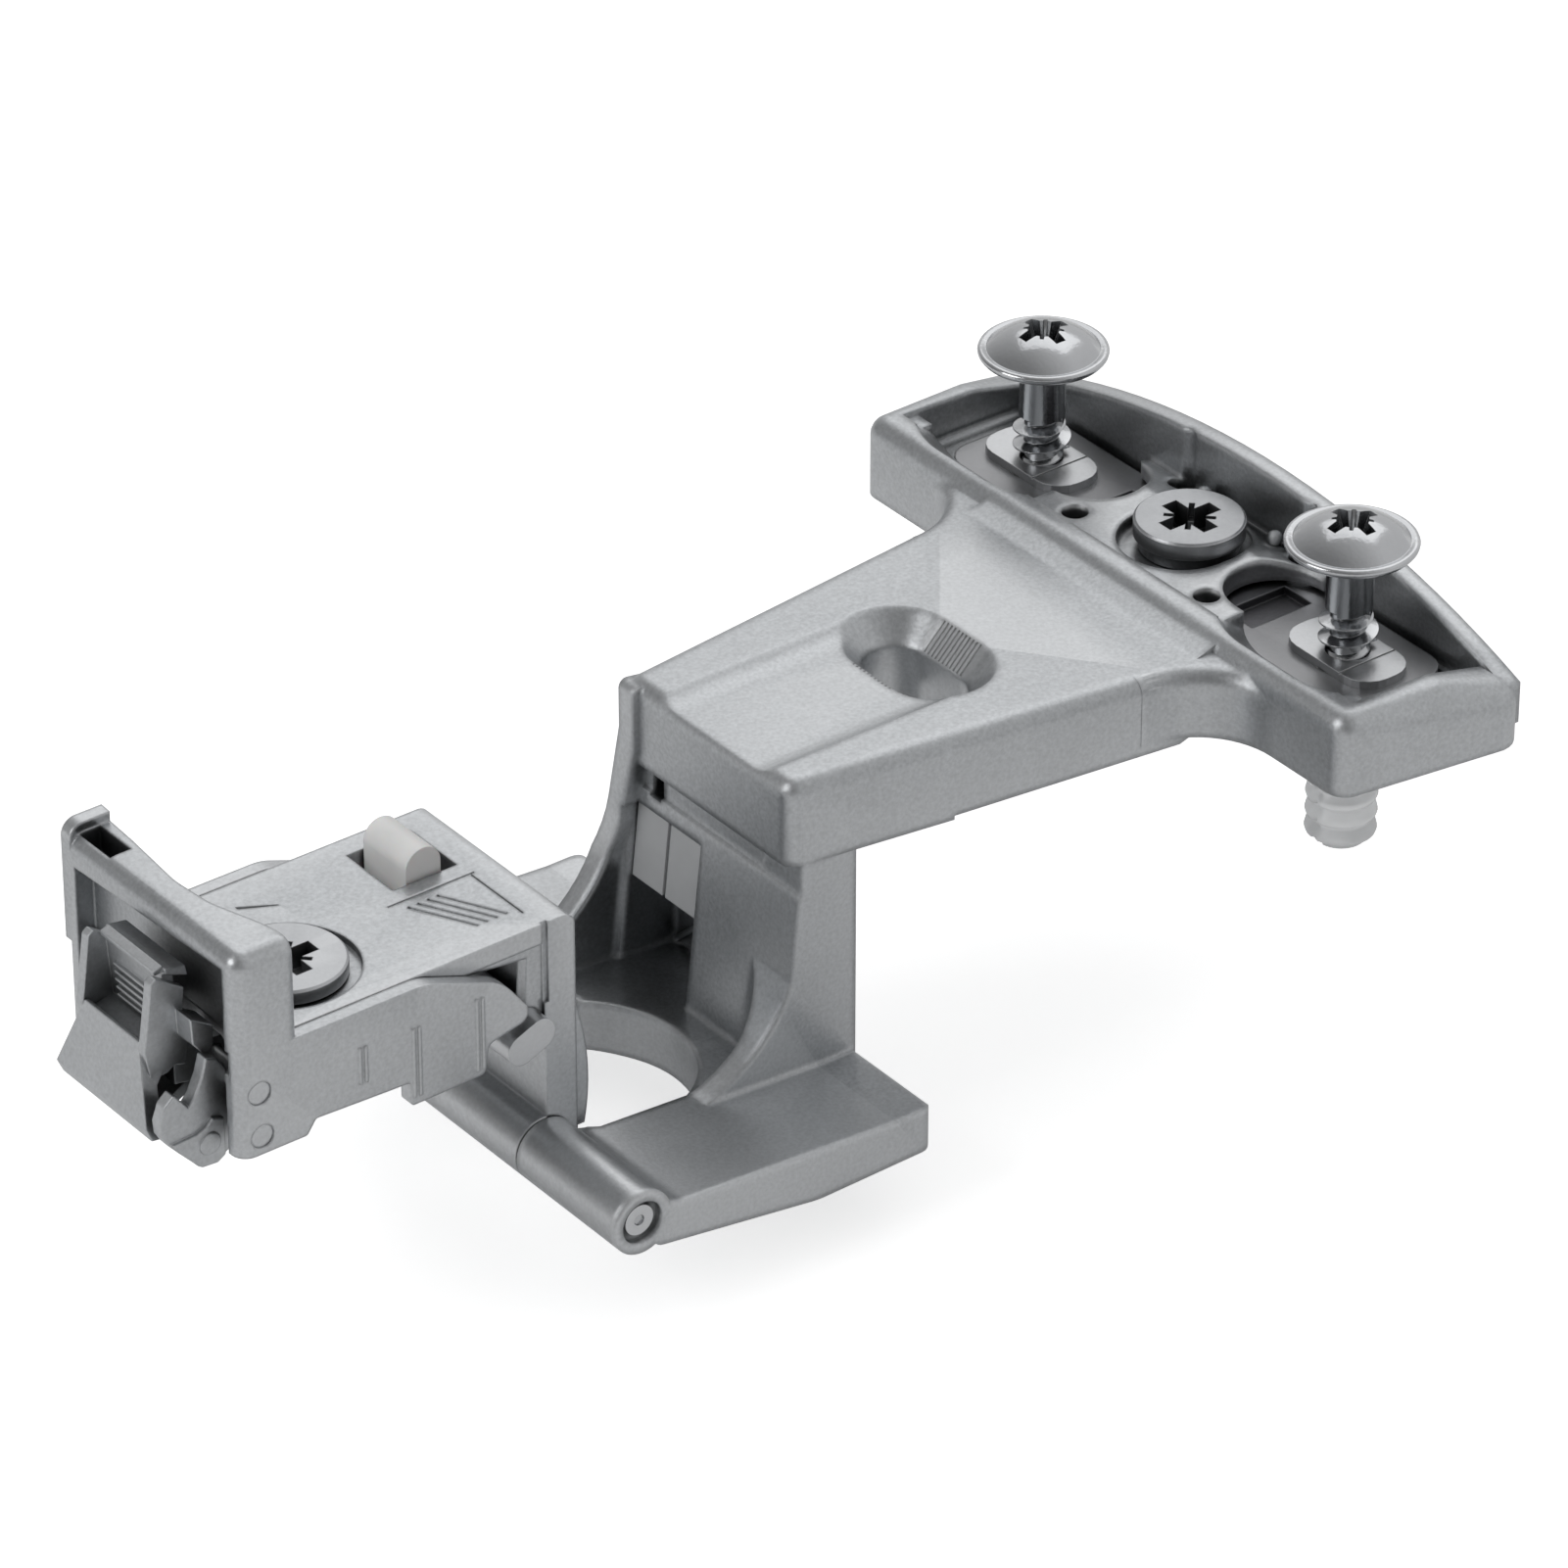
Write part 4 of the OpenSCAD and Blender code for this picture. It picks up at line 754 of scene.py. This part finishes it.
def add_floor():
    """Large floor, low enough for the arm to swing down over it."""
    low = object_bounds()[0][2]
    mesh = bpy.data.meshes.new("floor")
    mesh.from_pydata([(-3, -3, 0), (3, -3, 0), (3, 3, 0), (-3, 3, 0)], [], [(0, 1, 2, 3)])
    floor = bpy.data.objects.new("floor", mesh)
    floor.location = (0, 0, low - SWING_ROOM)
    bpy.context.scene.collection.objects.link(floor)
    floor.data.materials.append(floor_paper())
    floor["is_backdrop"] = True


def add_camera():
    """Camera at the photograph's angle, distance and framing."""
    cam = bpy.data.cameras.new("camera")
    cam.sensor_width = SENSOR
    cam.lens = SENSOR * FOCAL_PIXELS / PHOTO_PIXELS
    cam.clip_start = 0.01
    cam.clip_end = 10
    o = bpy.data.objects.new("camera", cam)
    bpy.context.scene.collection.objects.link(o)
    az, el = math.radians(CAMERA_AZIMUTH), math.radians(CAMERA_ELEVATION)
    right = Vector((math.cos(az), math.sin(az), 0))
    back = Vector((math.sin(az) * math.cos(el), -math.cos(az) * math.cos(el), math.sin(el)))
    up = back.cross(right)
    o.rotation_euler = Matrix((right, up, back)).transposed().to_euler()
    o.location = (back * CAMERA_BACK - right * CAMERA_LEFT - up * CAMERA_DOWN) * MM
    bpy.context.scene.camera = o


def add_panel(name, offset, size, power):
    """Rectangular light panel that faces the hinge."""
    data = bpy.data.lights.new(name, "AREA")
    data.shape = "RECTANGLE"
    data.size, data.size_y = size
    data.energy = power
    o = bpy.data.objects.new(name, data)
    bpy.context.scene.collection.objects.link(o)
    o.location = AIM + Vector(offset)
    o.rotation_euler = (AIM - o.location).to_track_quat("-Z", "Y").to_euler()


class HINGE_OT_studio(bpy.types.Operator):
    """Pale floor, soft light and the photograph's camera"""
    bl_idname = "hinge.studio"
    bl_label = "Studio"

    def execute(self, context):
        look = context.scene.hinge_studio
        context.scene.view_settings.view_transform = "Standard"
        add_camera()
        add_floor()
        world_light(look.fill)
        for name, offset, size, power in PANELS:
            add_panel(name, offset, size, power * look.panel_light)
        return {"FINISHED"}


# ---------------------------------------------------------------- panel and registration

SECTIONS = [
    ("Finishes", "hinge_finish", ["hinge.finishes"]),
    ("Screws and dowels", "hinge_screws", ["hinge.screws", "hinge.dowels"]),
    ("Lever and catch", "hinge_levers", ["hinge.lever", "hinge.catch"]),
    ("Studio", "hinge_studio", ["hinge.studio"]),
]


class HINGE_PT_panel(bpy.types.Panel):
    """Settings and steps of the hinge, in the order in which they are built"""
    bl_label = "Cabinet hinge"
    bl_idname = "HINGE_PT_panel"
    bl_space_type = "VIEW_3D"
    bl_region_type = "UI"
    bl_category = "Hinge"

    def draw(self, context):
        for title, settings_name, operators in SECTIONS:
            box = self.layout.box()
            box.label(text=title)
            settings = getattr(context.scene, settings_name)
            for key in settings.bl_rna.properties.keys():
                if key not in {"rna_type", "name"}:
                    box.prop(settings, key)
            for operator in operators:
                box.operator(operator)


SETTINGS = {"hinge_finish": HingeFinish, "hinge_screws": HingeScrews,
            "hinge_levers": HingeLevers, "hinge_studio": HingeStudio}
CLASSES = (*SETTINGS.values(), HINGE_OT_finishes, HINGE_OT_screws, HINGE_OT_dowels,
           HINGE_OT_lever, HINGE_OT_catch, HINGE_OT_studio, HINGE_PT_panel)


def register():
    for c in CLASSES:
        bpy.utils.register_class(c)
    for name, kind in SETTINGS.items():
        setattr(bpy.types.Scene, name, PointerProperty(type=kind))


def unregister():
    for name in SETTINGS:
        delattr(bpy.types.Scene, name)
    for c in reversed(CLASSES):
        bpy.utils.unregister_class(c)


def main():
    register()
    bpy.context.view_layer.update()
    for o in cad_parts.values():
        o.data.shade_smooth()
    bpy.ops.hinge.finishes()
    bpy.ops.hinge.screws()
    bpy.ops.hinge.dowels()
    bpy.ops.hinge.lever()
    bpy.ops.hinge.catch()
    bpy.ops.hinge.studio()


if __name__ == "__main__":
    main()
